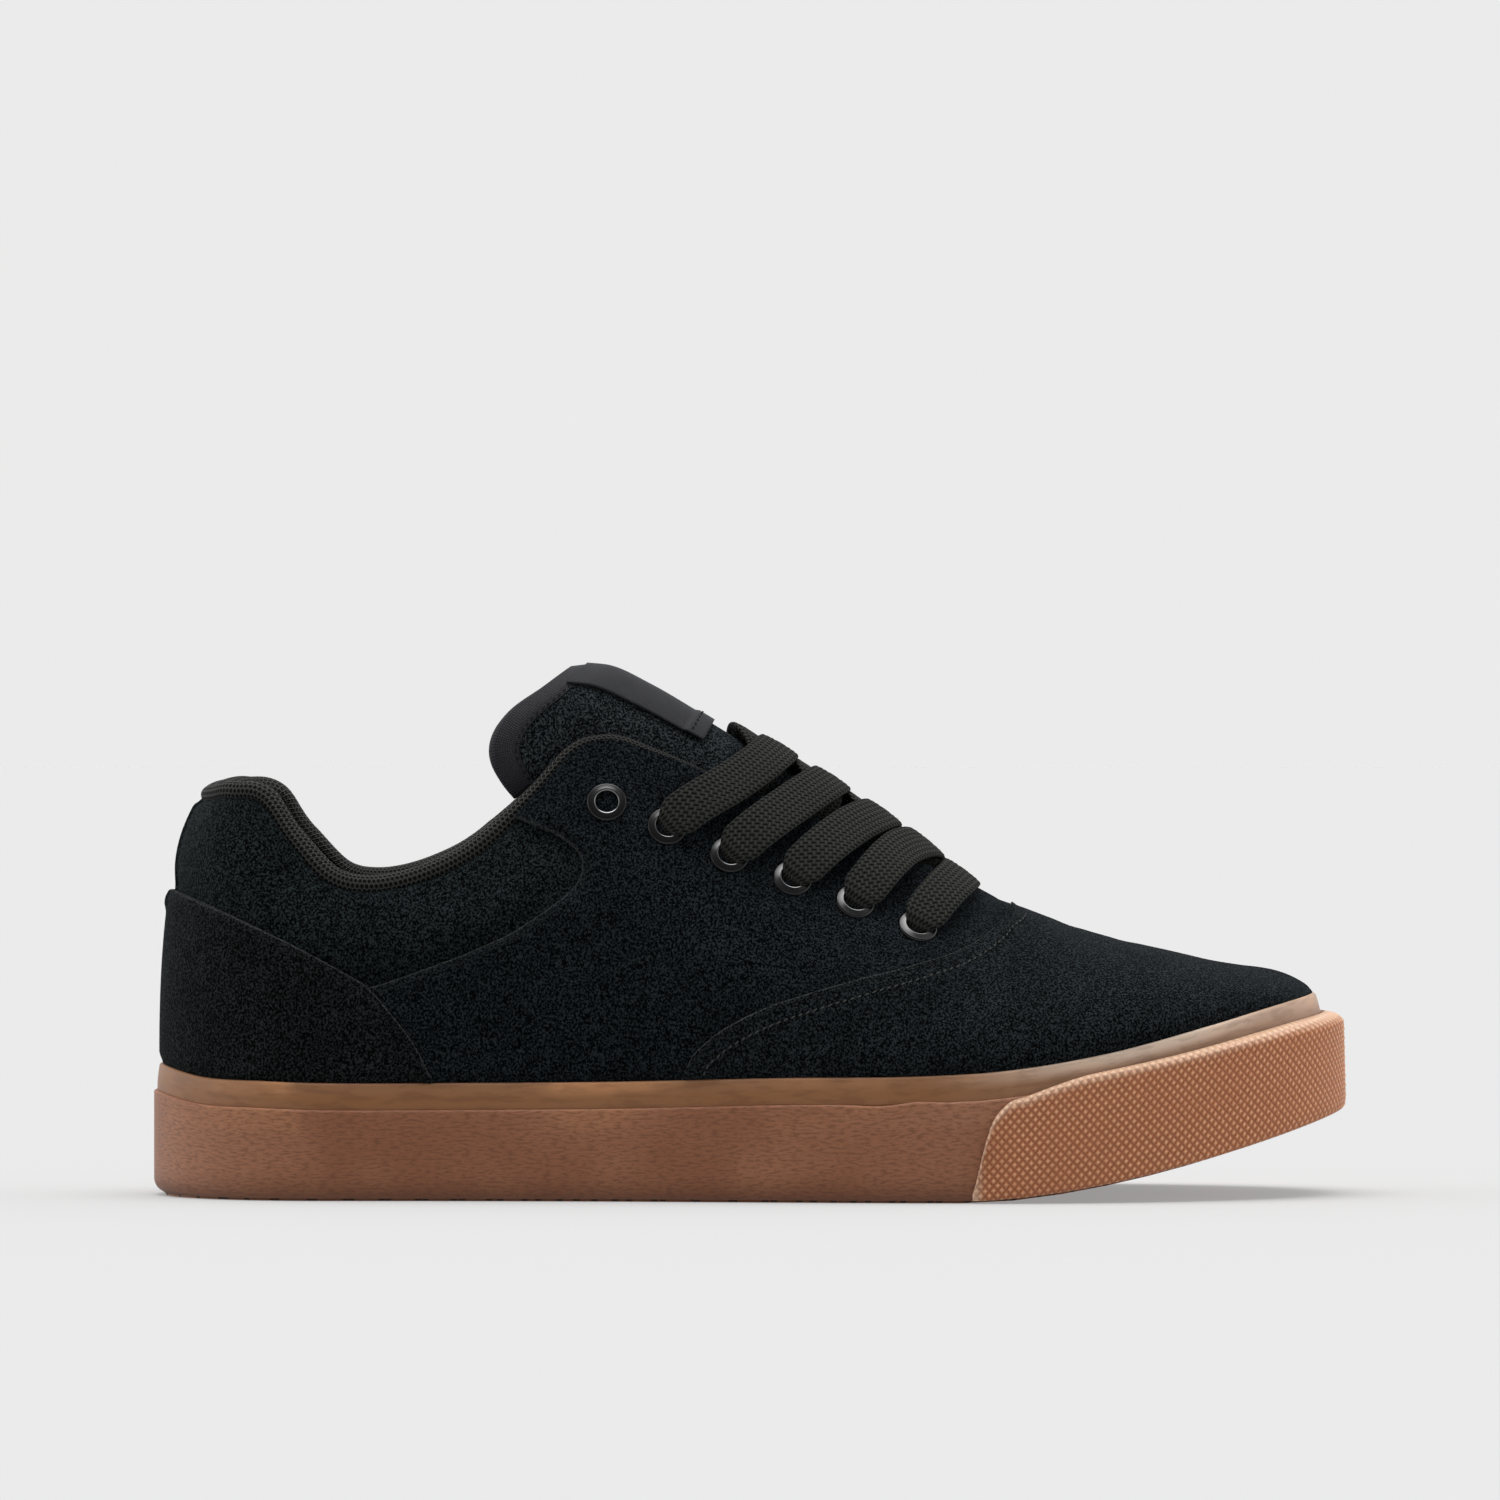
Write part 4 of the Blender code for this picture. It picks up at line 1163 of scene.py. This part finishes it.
def stripeProfile(x):
    low, high = tapeTop(x) - sole["stripeUnder"], foxingTop(x)
    out = sole["stripeOut"] - 0.35 * hump(x, 70, 1.6)
    face = [(out - 0.5 * t**2, low + (high - 0.9 - low) * t) for t in np.linspace(0, 1, 9)]
    over = np.linspace(0, math.pi / 2, 6)[1:]
    top = [(out - 1.3 + 0.8 * math.cos(a), high - 0.9 + 0.9 * math.sin(a)) for a in over]
    return [(shoe["gap"], low), *face, *top, (shoe["gap"], high)]


ringBand("foxing_tape_rubber", tapeProfile, gumFinish, "foxing_tape")
ringBand("foxing_stripe_rubber", stripeProfile, paleGumFinish, "foxing_stripe")

bumperEdge = table(
    "x z",
    (203.0, 1.6),
    (204.0, 5.0),
    (205.5, 11.5),
    (207.5, 18.5),
    (211.2, 24.0),
    (216.3, 26.2),
    (226.0, 29.8),
    (236.0, 32.9),
)


def makeBumper():
    fine = np.linspace(station(203.2), 1, 4000)
    loop = np.concatenate([fine, 2 - fine[::-1][1:]])
    run = runAlong(feather(loop))
    along = np.arange(0, run[-1], bumper["across"] / 5)
    ws = np.interp(along, run, loop)
    x = loopX(ws)
    low = tread(x) + sole["clear"]
    high = tapeTop(x) + bumper["over"] + 0.7 * hump(x, 236, 16)
    high = np.where(x < 236, np.minimum(high, column(bumperEdge, "z", x)), high)
    high = np.maximum(high, low + 1.0)
    rows, inside, uvs = [], [], []
    inner = sole["tapeOut"] + 0.15
    lean = column(foxingTable, "lean", x) * bumper["upright"]
    turn = sole["footRound"] + (bumper["round"] - sole["footRound"]) * ease(x, 262, 288)
    for share in np.linspace(0, 1, 66):
        level = low + (high - low) * share
        rise = (level - low) / bumper["rows"]
        a = (along / bumper["across"] + rise) % 1 - 0.5
        b = (along / bumper["across"] - rise) % 1 - 0.5
        peak = 1 - 2 * np.maximum(abs(a), abs(b))
        ends = np.minimum(along, run[-1] - along) * 0.9
        fromEdge = np.minimum(np.minimum(level - low, high - level), ends)
        fade = ease(fromEdge, bumper["rim"] * 0.5, bumper["rim"])
        rim = np.sqrt(np.clip(1 - (1 - np.clip(fromEdge / turn, 0, 1)) ** 2, 0, 1))
        face = sole["bumperOut"] - 0.35 + lean * foxingShare(x, level)
        knobs = fade * (bumper["proud"] * peak - 0.2)
        rows.append(wallPoint(ws, level, inner + (face - inner) * rim + knobs))
        inside.append(ease(np.minimum(high - level, ends), 0.0, bumper["wearAndHighlight"]))
        uvs.append(np.column_stack([along, level - low]))
    for share in (0.9, 0.5, 0.1):
        rows.append(wallPoint(ws, low + (high - low) * share, 0 * x + inner - 0.05))
        inside.append(0 * x)
        uvs.append(uvs[0])
    bm = tube(np.stack(rows, 1), 0.005, value=closed(np.stack(inside, 1)), uvs=np.stack(uvs, 1))
    return finishPiece("toe_bumper_rubber", bm, bumperFinish, ["toe_bumper"], recalc=True)


makeBumper()

# Eyelets
eyelet = {
    "outer": 4.95,
    "hole": 2.75,
    "barrel": 3.2,
    "dome": 1.0,
    "bevel": 0.55,
    "slope": 0.45,
    "shine": (0.35, 0.75),
    "steps": 48,
}
eyeletTable = table(
    "x z",
    (113.4, 97.5),
    (128.2, 91.5),
    (143.5, 84.4),
    (159.0, 78.5),
    (174.4, 72.6),
    (189.8, 66.4),
)


def enamelLook():  # rubbed dull on the face and glossy round the hole, which the vertex value marks
    look = Look("black_enamel", **{"Base Color": tint(8, 8, 9), "Specular IOR Level": 0.25, "Coat IOR": 2.2})
    hole = look.level()
    look.feed("Coat Weight", hole * 0.92 + 0.08)
    look.feed("Roughness", 0.3 - hole * 0.22)
    return look


enamelFinish = enamelLook()


def eyeletFrame(side, row):
    w, up = onSkin(side, np.array([eyeletTable["x"][row]]), np.array([eyeletTable["z"][row]]))
    out = skinOut(w, up)[0]
    along = unit(np.cross([0.0, 0.0, 1.0], out))
    return skin(w, up)[0], np.column_stack([along, np.cross(out, along), out])


def eyeletProfile():  # a flat washer with rounded edges, and its barrel
    seat = onQuarter
    hole, outer, bevel, slope = (eyelet[key] for key in ("hole", "outer", "bevel", "slope"))
    top = seat + eyelet["dome"]
    turns = np.linspace(0, math.pi / 2, 8)
    inner = [(hole + bevel * (1 - math.cos(a)), top - bevel * (1 - math.sin(a))) for a in turns]
    rim = [(outer - bevel * (1 - math.sin(a)), top - slope - bevel * (1 - math.cos(a))) for a in turns]
    flat = [(hole + bevel + 0.06, top), (outer - bevel - 0.06, top - slope)]
    low = -shoe["wall"] - 0.4
    barrel = eyelet["barrel"]
    return [(hole, low), *inner, *flat, *rim, (outer, seat), (barrel, seat), (barrel, low)]


def makeEyelets():
    bm = bmesh.new()
    level = bm.verts.layers.float.new("level")
    nodes = []
    for side, word in ((-1, "lateral"), (1, "medial")):
        for row in range(len(eyeletTable["x"])):
            spot, axes = eyeletFrame(side, row)
            ring = [bm.verts.new((r * mm, 0, z * mm)) for r, z in eyeletProfile()]
            for vert, (r, z) in zip(ring, eyeletProfile()):
                vert[level] = float(1 - ease(r - eyelet["hole"], *eyelet["shine"]))
            geometry = ring + [bm.edges.new(pair) for pair in zip(ring, ring[1:] + ring[:1])]
            turn = {"cent": (0, 0, 0), "axis": (0, 0, 1), "angle": 2 * math.pi, "steps": eyelet["steps"]}
            bmesh.ops.spin(bm, geom=geometry, use_merge=True, **turn)
            fresh = [vert for vert in bm.verts if not vert.tag]
            bmesh.ops.transform(bm, matrix=standing(spot, axes), verts=fresh)
            for vert in fresh:
                vert.tag = True
            nodes.append(f"eyelet_{word}_{row + 1}")
    weld(bm)
    return finishPiece("eyelets_enamel", bm, enamelFinish, nodes, recalc=True)


makeEyelets()

# Tongue
tongue = {"wrap": 102.0, "roll": 3.1, "rollBack": 2.3, "tapeWide": 2.0}
tongueTable = table(
    "x ridge half arch thick swept",
    (108.0, 131.9, 18.8, 25.0, 5.4, 1.0),
    (114.0, 131.2, 18.8, 25.0, 6.0, 0.95),
    (124.0, 126.6, 18.8, 25.0, 6.0, 0.8),
    (136.0, 119.6, 18.8, 25.0, 5.5, 0.6),
    (150.0, 111.0, 18.6, 25.0, 4.5, 0.4),
    (166.0, 101.4, 18.0, 24.0, 3.6, 0.2),
    (184.0, 89.4, 17.0, 23.0, 3.0, 0.1),
    (197.0, 79.6, 15.6, 20.0, 2.8, 0.0),
    (206.0, 71.6, 15.0, 16.0, 2.6, 0.0),
    (214.0, 66.6, 15.0, 14.0, 2.4, 0.0),
    (224.0, 63.0, 15.0, 12.0, 2.2, 0.0),
)
tongueTop = table("drop back", (0.0, 0.0), (7.0, 7.4), (14.0, 15.4), (21.5, 18.6), (26.0, 16.6), (33.0, 11.0))


def tonguePoint(x, angle, out):
    x, angle, out = np.broadcast_arrays(*(np.asarray(given, float) for given in (x, angle, out)))
    names = ("ridge", "half", "arch", "swept")
    ridge, half, arch, swept = (column(tongueTable, name, x) for name in names)
    turn = np.radians(angle)
    drop = arch * (1 - np.cos(turn))
    back = swept * smooth(drop, tongueTop["drop"], tongueTop["back"])
    across = np.sin(turn) * (half + out)
    return np.stack([x - back, middle(x) + across, ridge - drop + out * np.cos(turn)], -1)


def tongueThick(x, angle):
    thick = column(tongueTable, "thick", x)
    return thick * (1 - 0.5 * (abs(angle) / tongue["wrap"]) ** 4)


def makeTongue():
    xs = np.linspace(tongueTable["x"][0], tongueTable["x"][-1], 130)
    angles = np.linspace(-tongue["wrap"], tongue["wrap"], 120)
    x, angle = np.meshgrid(xs, angles, indexing="ij")
    outer = tonguePoint(x, angle, 0 * x)
    inner = tonguePoint(x, angle, -tongueThick(x, angle))[:, ::-1]
    bm = tube(np.concatenate([outer, inner], 1))
    piece = finishPiece("tongue_suede", bm, tongueLitFinish, ["tongue"], recalc=True)
    return piece


def makeTongueTape():
    angles = np.linspace(-tongue["wrap"] + 1, tongue["wrap"] - 1, 130)
    first = tongueTable["x"][0]
    thick = tongueThick(first, angles)
    edge = tonguePoint(first, angles, -thick / 2)
    out = unit(tonguePoint(first, angles, 0 * angles) - edge)
    away = unit(np.cross(out, np.gradient(edge, axis=0)))
    centre = edge + away * tongue["rollBack"]
    rows = []
    for x in np.linspace(first + tongue["tapeWide"], first, 8):
        rows.append(tonguePoint(x, angles, 0.45 - 0.2 * (x - first) / tongue["tapeWide"]))
    for turn in np.radians(np.linspace(60, -60, 18)):
        c, s = tongue["roll"] * math.cos(turn), tongue["roll"] * math.sin(turn)
        rows.append(centre + out * s + away * c)
    for x in np.linspace(first, first + tongue["tapeWide"], 8):
        rows.append(tonguePoint(x, angles, -tongueThick(x, angles) - 0.3))
    bm = bentSheet(np.stack(rows, 1), wrap=True)
    capEnds(bm)
    return finishPiece("tongue_edge_tape", bm, tapeFinish, ["tongue_binding"], recalc=True)


def clothLook(name, pitch, deep, top, depth=0.12):
    look = Look(name, **{"Specular IOR Level": 0.12})
    u, v = look.cells(*pitch)
    warp = (u * (2 * math.pi)).use("SINE") * 0.5 + 0.5
    weft = (v * (2 * math.pi)).use("SINE") * 0.5 + 0.5
    cloud = look.noise(look.coords(), 1000 / 4.0, 2.0)
    weave = warp * weft
    look.feed("Base Color", look.mix(weave * 0.6 + cloud * 0.4, deep, top))
    look.feed("Roughness", 0.6 - weave * 0.1)
    look.feed("Normal", look.bump(weave, depth))
    return look


tapeFinish = clothLook("grey_edge_tape", (0.6, 0.6), tint(24, 24, 27), tint(52, 52, 57))
label = {"from": 108.2, "to": 140.0, "wrap": 36.0, "thick": 0.6, "fold": 0.5, "over": 0.9}
labelFinish = clothLook("grey_satin_label", (0.45, 0.6), tint(27, 27, 30), tint(50, 51, 55), 0.05)


def makeLabel():
    xs = np.linspace(label["from"], label["to"], 60)
    angles = np.linspace(-label["wrap"], label["wrap"], 60)
    x, angle = np.meshgrid(xs, angles, indexing="ij")
    fold = label["fold"] * ease(x, label["to"] - 4.6, label["to"] - 4.0)
    bm = bentSheet(tonguePoint(x, angle, label["over"] + fold))
    return finishPiece("tongue_blank_label", bm, labelFinish, ["tongue_label"], label["thick"])


makeTongue()
makeTongueTape()
makeLabel()

# Lace
lace = {
    "stitch": 1.5,
    "rib": 1.35,
    "wide": 11.0,
    "thick": 2.0,
    "bundle": 5.2,
    "bundleThick": 3.0,
    "bundleLong": 4.5,
    "flare": 7.0,
    "facing": 0.62,
    "early": 7.0,
    "ahead": 4.0,
    "overEdge": 3.2,
    "underEdge": 4.2,
}
laceTable = table(
    "row lead tuck",
    (2, 20.0, 42.0),
    (3, 18.0, 42.0),
    (4, 15.5, 38.0),
    (5, 11.0, 27.0),
    (6, 10.2, 0.0),
)


def laceLook():
    look = Look("black_lace", **{"Specular IOR Level": 0.04, "Sheen Weight": 0.03})
    u, v = look.cells(lace["stitch"], lace["rib"])
    zig = (v.use("FRACT") - 0.5).use("ABSOLUTE") * 2.0
    plait = ((u + zig * 0.5) * (2 * math.pi)).use("SINE") * 0.5 + 0.5
    rib = (v * (2 * math.pi)).use("SINE") * 0.5 + 0.5
    fuzz = look.noise(look.coords(), 1000 / 0.35, 2.0)
    weave = plait * 0.6 + rib * 0.4
    light = (weave * 0.62 + fuzz * 0.38).clip(0.12, 0.88)
    look.feed("Base Color", look.mix(light, tint(2, 2, 2), tint(56, 57, 54)))
    look.feed("Roughness", 0.9)
    look.feed("Normal", look.bump(weave * 0.7 + fuzz * 0.3, 0.6))
    return look


laceFinish = laceLook()


def overTongue(x, angle, out):
    spot = tonguePoint(x, angle, out)
    away = spot - tonguePoint(x, angle, out - 1)
    slope = unit(tonguePoint(x + 1, angle, out) - tonguePoint(x - 1, angle, out))
    return spot, unit(away - slope * away.dot(slope))


def overFacing(side, row, lead):
    x = eyeletTable["x"][row] + lead * lace["facing"] + lace["ahead"]
    w = loopAt(side, station(x))
    out = skinOut(w, shoe["ridgeUp"])
    return skin(w, 1.0) + out * lace["overEdge"], out


def throughEyelet(side, row, toward):  # from inside the shoe, out of the hole and over its rim
    spot, axes = eyeletFrame(side, row)
    out = axes[:, 2]
    run = unit(toward - spot - out * out.dot(toward - spot))
    seat = onQuarter + eyelet["dome"]
    return [
        (spot - out * 5.0 - run * 0.6, -run),
        (spot - run * 0.4, -run),
        (spot + out * (seat + 0.4) + run * 0.9, unit(out - run)),
        (spot + out * (seat + 1.5) + run * 4.4, unit(out * 1.5 - run * 0.3)),
    ]


def strandMesh(bm, route, bothEnds):  # a flat strip along (place, way out) pairs, bunched at one end or both
    spots = np.array([spot for spot, out in route])
    outs = np.array([out for spot, out in route])
    run = runAlong(spots)
    at = np.linspace(0, run[-1], 110)
    line = follow(smooth, at, run, spots)
    outs = unit(follow(smooth, at, run, outs))
    way = unit(np.gradient(line, axis=0))
    across = unit(np.cross(way, outs))
    out = np.cross(across, way)
    fromEnd = np.minimum(at, run[-1] - at) if bothEnds else at
    bunched = 1 - ease(fromEnd, lace["bundleLong"], lace["bundleLong"] + lace["flare"])
    half = (lace["wide"] + (lace["bundle"] - lace["wide"]) * bunched) / 2
    thick = (lace["thick"] + (lace["bundleThick"] - lace["thick"]) * bunched) / 2
    rows = []
    for turn in np.linspace(0, 2 * math.pi, 56, endpoint=False):
        c, s = math.cos(turn), math.sin(turn)
        side = np.sign(c) * abs(c) ** 0.75
        ribs = 1 + 0.07 * math.cos(side * 9 * math.pi)
        high = np.sign(s) * abs(s) ** 0.6 * ribs
        rows.append(line + across * (half * side)[:, None] + out * (thick * high)[:, None])
    joinSheet(bm, tube(np.stack(rows, 1)))


def underFacing(side, row):  # up the inside of the facing to an eyelet
    spot, axes = eyeletFrame(side, row)
    out = axes[:, 2]
    return spot - out * lace["underEdge"], out


def makeLaces():
    spacing = np.diff(eyeletTable["x"]).mean()
    for number, lead, tuckAngle in zip(laceTable["row"], laceTable["lead"], laceTable["tuck"]):
        row = int(number) - 1
        x = eyeletTable["x"][row]
        bm = bmesh.new()
        bm.loops.layers.uv.new("UVMap")
        if number == len(eyeletTable["x"]):
            near, far = overFacing(-1, row, lead), overFacing(1, row, lead)
            start, end = throughEyelet(-1, row, near[0]), throughEyelet(1, row, far[0])
            route = [*start, near, overTongue(x + lead, 0, 2.0), far, *end[::-1]]
            strandMesh(bm, route, True)
            finishPiece("lace_strap_bar", bm, laceFinish, ["lace_bar"], recalc=True)
            continue
        top = x + lead + spacing / 2
        tuck = x + lead * lace["facing"] + spacing * 0.7
        for side, lift, early in ((-1, 4.2, 0.0), (1, 2.4, lace["early"])):
            near = overFacing(side, row, lead)
            route = [
                *throughEyelet(side, row, near[0]),
                near,
                overTongue(top - early, side * early, lift + early * 0.1),
                overTongue((top + tuck) / 2, -side * tuckAngle / 2, (lift + 1.6) / 2),
                overTongue(tuck, -side * tuckAngle, 1.4),
                underFacing(-side, row + 1),
            ]
            strandMesh(bm, route, False)
        name = f"lace_cross_{int(number)}"
        finishPiece(name.replace("lace", "lace_strap"), bm, laceFinish, [name], recalc=True)


makeLaces()

# Stitches
stitch = {
    "pitch": 1.9,
    "long": 1.25,
    "wide": 0.42,
    "thick": 0.34,
    "slant": 14.0,
    "vampInsets": (1.2, 4.6),
    "hookInset": 2.0,
    "counterInset": 1.7,
    "vampSpan": (132.6, 216.0),
}
thread = {"Roughness": 0.8, "Specular IOR Level": 0.1}
# one thread in two copies: a lighter one painted as lit for the vamp's open row, a darker one painted as
# shaded for rows by edges and seams
litThreadFinish = Look("thread_painted_lit", **thread, **{"Base Color": tint(62, 63, 61)})
shadedThreadFinish = Look("thread_painted_shaded", **thread, **{"Base Color": tint(22, 23, 23)})


def sewRow(bm, spots, outs):  # slanted stitches at an even pitch along a path
    run = runAlong(spots)
    at = np.arange(stitch["pitch"] / 2, run[-1], stitch["pitch"])
    line = follow(np.interp, at, run, spots)
    ahead = follow(np.interp, at + 0.3, run, spots)
    outs = unit(follow(np.interp, at, run, outs))
    c, s = math.cos(math.radians(stitch["slant"])), math.sin(math.radians(stitch["slant"]))
    sizes = np.array([stitch["long"], stitch["wide"], stitch["thick"]]) * mm / 2
    for spot, way, out in zip(line, ahead - line, outs):
        way = unit(way - out * out.dot(way))
        across = np.cross(out, way)
        axes = np.column_stack([way * c + across * s, across * c - way * s, out]) * sizes
        bmesh.ops.create_icosphere(bm, subdivisions=2, radius=1.0, matrix=standing(spot, axes))


def besideSeam(xs, zs, offset):  # a line in the side view, to the right of the way that it runs
    dx, dz = np.gradient(xs), np.gradient(zs)
    run = np.hypot(dx, dz)
    return xs + dz / run * offset, zs - dx / run * offset


def sewSide(bm, side, line, height):
    xs, zs = line
    keep = (zs > foxingTop(xs) + 0.8) & (zs < column(ribTable, "z", xs) - 2.0)
    xs, zs = xs[keep], zs[keep]
    w, up = onSkin(side, xs, zs)
    found = skin(w, up)
    sound = np.hypot(found[:, 0] - xs, found[:, 2] - zs) < 0.3
    w, up, found = w[sound], up[sound], found[sound]
    sewRow(bm, offSkin(w, up, height * tuckShare(found)), skinOut(w, up))


def nearSkin(spots, w, up):  # (w, up) of the upper nearest to points, from places close to them
    step = 0.001
    for turn in range(6):
        off = spots - skin(w, up)
        alongW = (skin(w + step, up) - skin(w - step, up)) / (2 * step)
        alongUp = (skin(w, up + step) - skin(w, up - step)) / (2 * step)
        first, second = (alongW**2).sum(-1), (alongUp**2).sum(-1)
        cross = (alongW * alongUp).sum(-1)
        partW, partUp = (off * alongW).sum(-1), (off * alongUp).sum(-1)
        scale = first * second - cross * cross
        w = w + 0.8 * (second * partW - cross * partUp) / scale
        up = np.clip(up + 0.8 * (first * partUp - cross * partW) / scale, shoe["foxShare"], 0.995)
    return w, up


def sewVamp(bm, side, inset):  # a row at an inset from the vamp's edge
    w = loopAt(side, np.linspace(*(station(x) for x in stitch["vampSpan"]), 400))
    up = upOfSeam(w, vampSeam)
    seen = up > shoe["foxShare"] + 0.01
    w, up = w[seen], up[seen]
    edge = skin(w, up)
    into = unit(np.cross(np.gradient(edge, axis=0), skinOut(w, up))) * -side
    w, up = nearSkin(edge + into * inset, w, up)
    seen = up > shoe["foxShare"] + 0.005
    w, up = w[seen], up[seen]
    high = panels["vamp"] + shoe["gap"] + panels["lap"] * (1 - ease(inset, *panels["lapFade"]))
    sewRow(bm, offSkin(w, up, high * tuckShare(skin(w, up))), skinOut(w, up))


def makeStitches():
    zs = np.linspace(*relief["hookSpan"], 160)
    hookRow = besideSeam(hookAt(zs), zs, stitch["hookInset"])
    backs = np.linspace(7, 71, 120)
    counterRow = besideSeam(backs, counterAt(backs), stitch["counterInset"])
    bm = bmesh.new()
    for side in (-1, 1):
        sewVamp(bm, side, stitch["vampInsets"][1])
    finishPiece("vamp_stitches", bm, litThreadFinish)
    bm = bmesh.new()
    for side in (-1, 1):
        sewVamp(bm, side, stitch["vampInsets"][0])
        sewSide(bm, side, hookRow, onQuarter)
        sewSide(bm, side, counterRow, panels["counter"] + shoe["gap"])
    finishPiece("panel_stitches", bm, shadedThreadFinish)
    bm = bmesh.new()
    angles = np.linspace(-tongue["wrap"] + 4, tongue["wrap"] - 4, 160)
    border = tongueTable["x"][0] + tongue["tapeWide"] - 0.8
    spots = tonguePoint(border, angles, 0.5)
    sewRow(bm, spots, unit(spots - tonguePoint(border, angles, -0.5)))
    across = np.linspace(-label["wrap"] + 2, label["wrap"] - 2, 60)
    spots = tonguePoint(label["to"] - 3.0, across, label["over"] + label["fold"] + 0.1)
    sewRow(bm, spots, unit(spots - tonguePoint(label["to"] - 3.0, across, 0.0)))
    finishPiece("tongue_stitches", bm, shadedThreadFinish)


makeStitches()

# Insole
insole = {"from": 0.03, "to": 0.975, "hollow": 0.28}
linerFinish = clothLook("black_sock_liner", (1.2, 1.2), tint(10, 10, 10), tint(32, 32, 32))


def makeInsole():
    qs = np.linspace(insole["from"], insole["to"], 150)
    low = tread(footX(qs)) + shoe["soleThick"] + shoe["gap"]
    inset = -shoe["wall"] - 3 * shoe["gap"]
    left = wallPoint(qs, low, 0 * qs + inset)
    right = wallPoint(2 - qs, low, 0 * qs + inset)
    rows = []
    for share in np.linspace(0, 1, 50):
        point = left + (right - left) * share
        dip = insole["hollow"] * (1 - abs(2 * share - 1) ** 3)
        point[:, 2] += shoe["insoleThick"] * (1 - dip)
        rows.append(point)
    rows += [right, left]
    bm = tube(np.stack(rows, 1))
    piece = finishPiece("insole_liner", bm, linerFinish, ["insole"], recalc=True)
    return piece


makeInsole()

# The outsole keeps its solid, with a diamond tread pattern
treadMarks = {"pitch": 9.0, "groove": 0.1, "depth": 1.2}


def treadLook():
    look = Look("gum_tread", **{"Specular IOR Level": 0.3, "Roughness": 0.5})
    x, y, z = look.axes(look.scaled(look.coords(), (1 / mm / treadMarks["pitch"],) * 3))
    first = ((x + y * 0.6).use("FRACT") - 0.5).use("ABSOLUTE")
    second = ((x - y * 0.6).use("FRACT") - 0.5).use("ABSOLUTE")
    block = first.use("MINIMUM", second).clip(treadMarks["groove"] * 0.5, treadMarks["groove"])
    # painted shade: the bumped grooves take the darker groove colour
    look.feed("Base Color", look.mix(block, gum["groove"], gum["deep"]))
    look.feed("Normal", look.bump(block, treadMarks["depth"]))
    return look


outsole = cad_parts["outsole"]
outsole.data.materials.clear()
outsole.data.materials.append(treadLook().material)

# Studio
studio = {
    "camera": (-0.0002, -2.4, 0.1109),
    "field": 0.375,
    "grey": 0.83,
    "front": 0.14,
    "sides": 1.0,
    "over": 5.6,
    "floor": 0.483,
    "lit": 0.35,
}


def makeStage():
    bm = bmesh.new()
    bmesh.ops.create_grid(bm, x_segments=1, y_segments=1, size=60)
    mesh = bpy.data.meshes.new("floor")
    bm.to_mesh(mesh)
    bm.free()
    paper = studio["floor"] * (1 - studio["lit"])
    look = Look("floor_paper", **{"Base Color": (paper,) * 3 + (1.0,), "Roughness": 1.0})
    look.feed("Specular IOR Level", 0.0)
    glow = studio["grey"] * studio["lit"]  # a table that is also lit from below, which softens the shadow
    look.feed("Emission Color", (glow,) * 3 + (1.0,))
    look.feed("Emission Strength", 1.0)
    mesh.materials.append(look.material)
    floor = bpy.data.objects.new("floor", mesh)
    scene.collection.objects.link(floor)


class WorldLook(Look):  # the same node helpers on the world's own nodes
    def __init__(self, world):
        self.tree = world.node_tree
        self.shader = self.tree.nodes["Background"]


def makeLight():  # a pale room: darker behind the camera, brighter at both ends of the shoe and overhead
    world = bpy.data.worlds.new("studio")
    scene.world = world
    world.use_nodes = True
    room = WorldLook(world)
    x, y, z = room.axes(room.coords("Generated"))
    wall = studio["front"] + y.clip(-0.75, 0.15) * (studio["grey"] - studio["front"])
    sides = x.use("ABSOLUTE").clip(0.5, 0.95) * (1 - z.clip(0.5, 0.8)) * studio["sides"]
    over = z.clip(0.85, 0.97) * studio["over"]
    room.feed("Color", (1.0, 1.0, 1.0, 1.0))
    room.feed("Strength", wall + sides + over)


def makeCamera():
    data = bpy.data.cameras.new("camera")
    spot = Vector(studio["camera"])
    data.sensor_width = 36
    data.lens = 36 * abs(spot.y) / studio["field"]
    data.clip_end = 200
    camera = bpy.data.objects.new("camera", data)
    camera.location = spot
    camera.rotation_euler = (math.pi / 2, 0, 0)
    scene.collection.objects.link(camera)
    scene.camera = camera


makeStage()
makeLight()
makeCamera()
scene.view_settings.view_transform = "Standard"
print("studio ready")
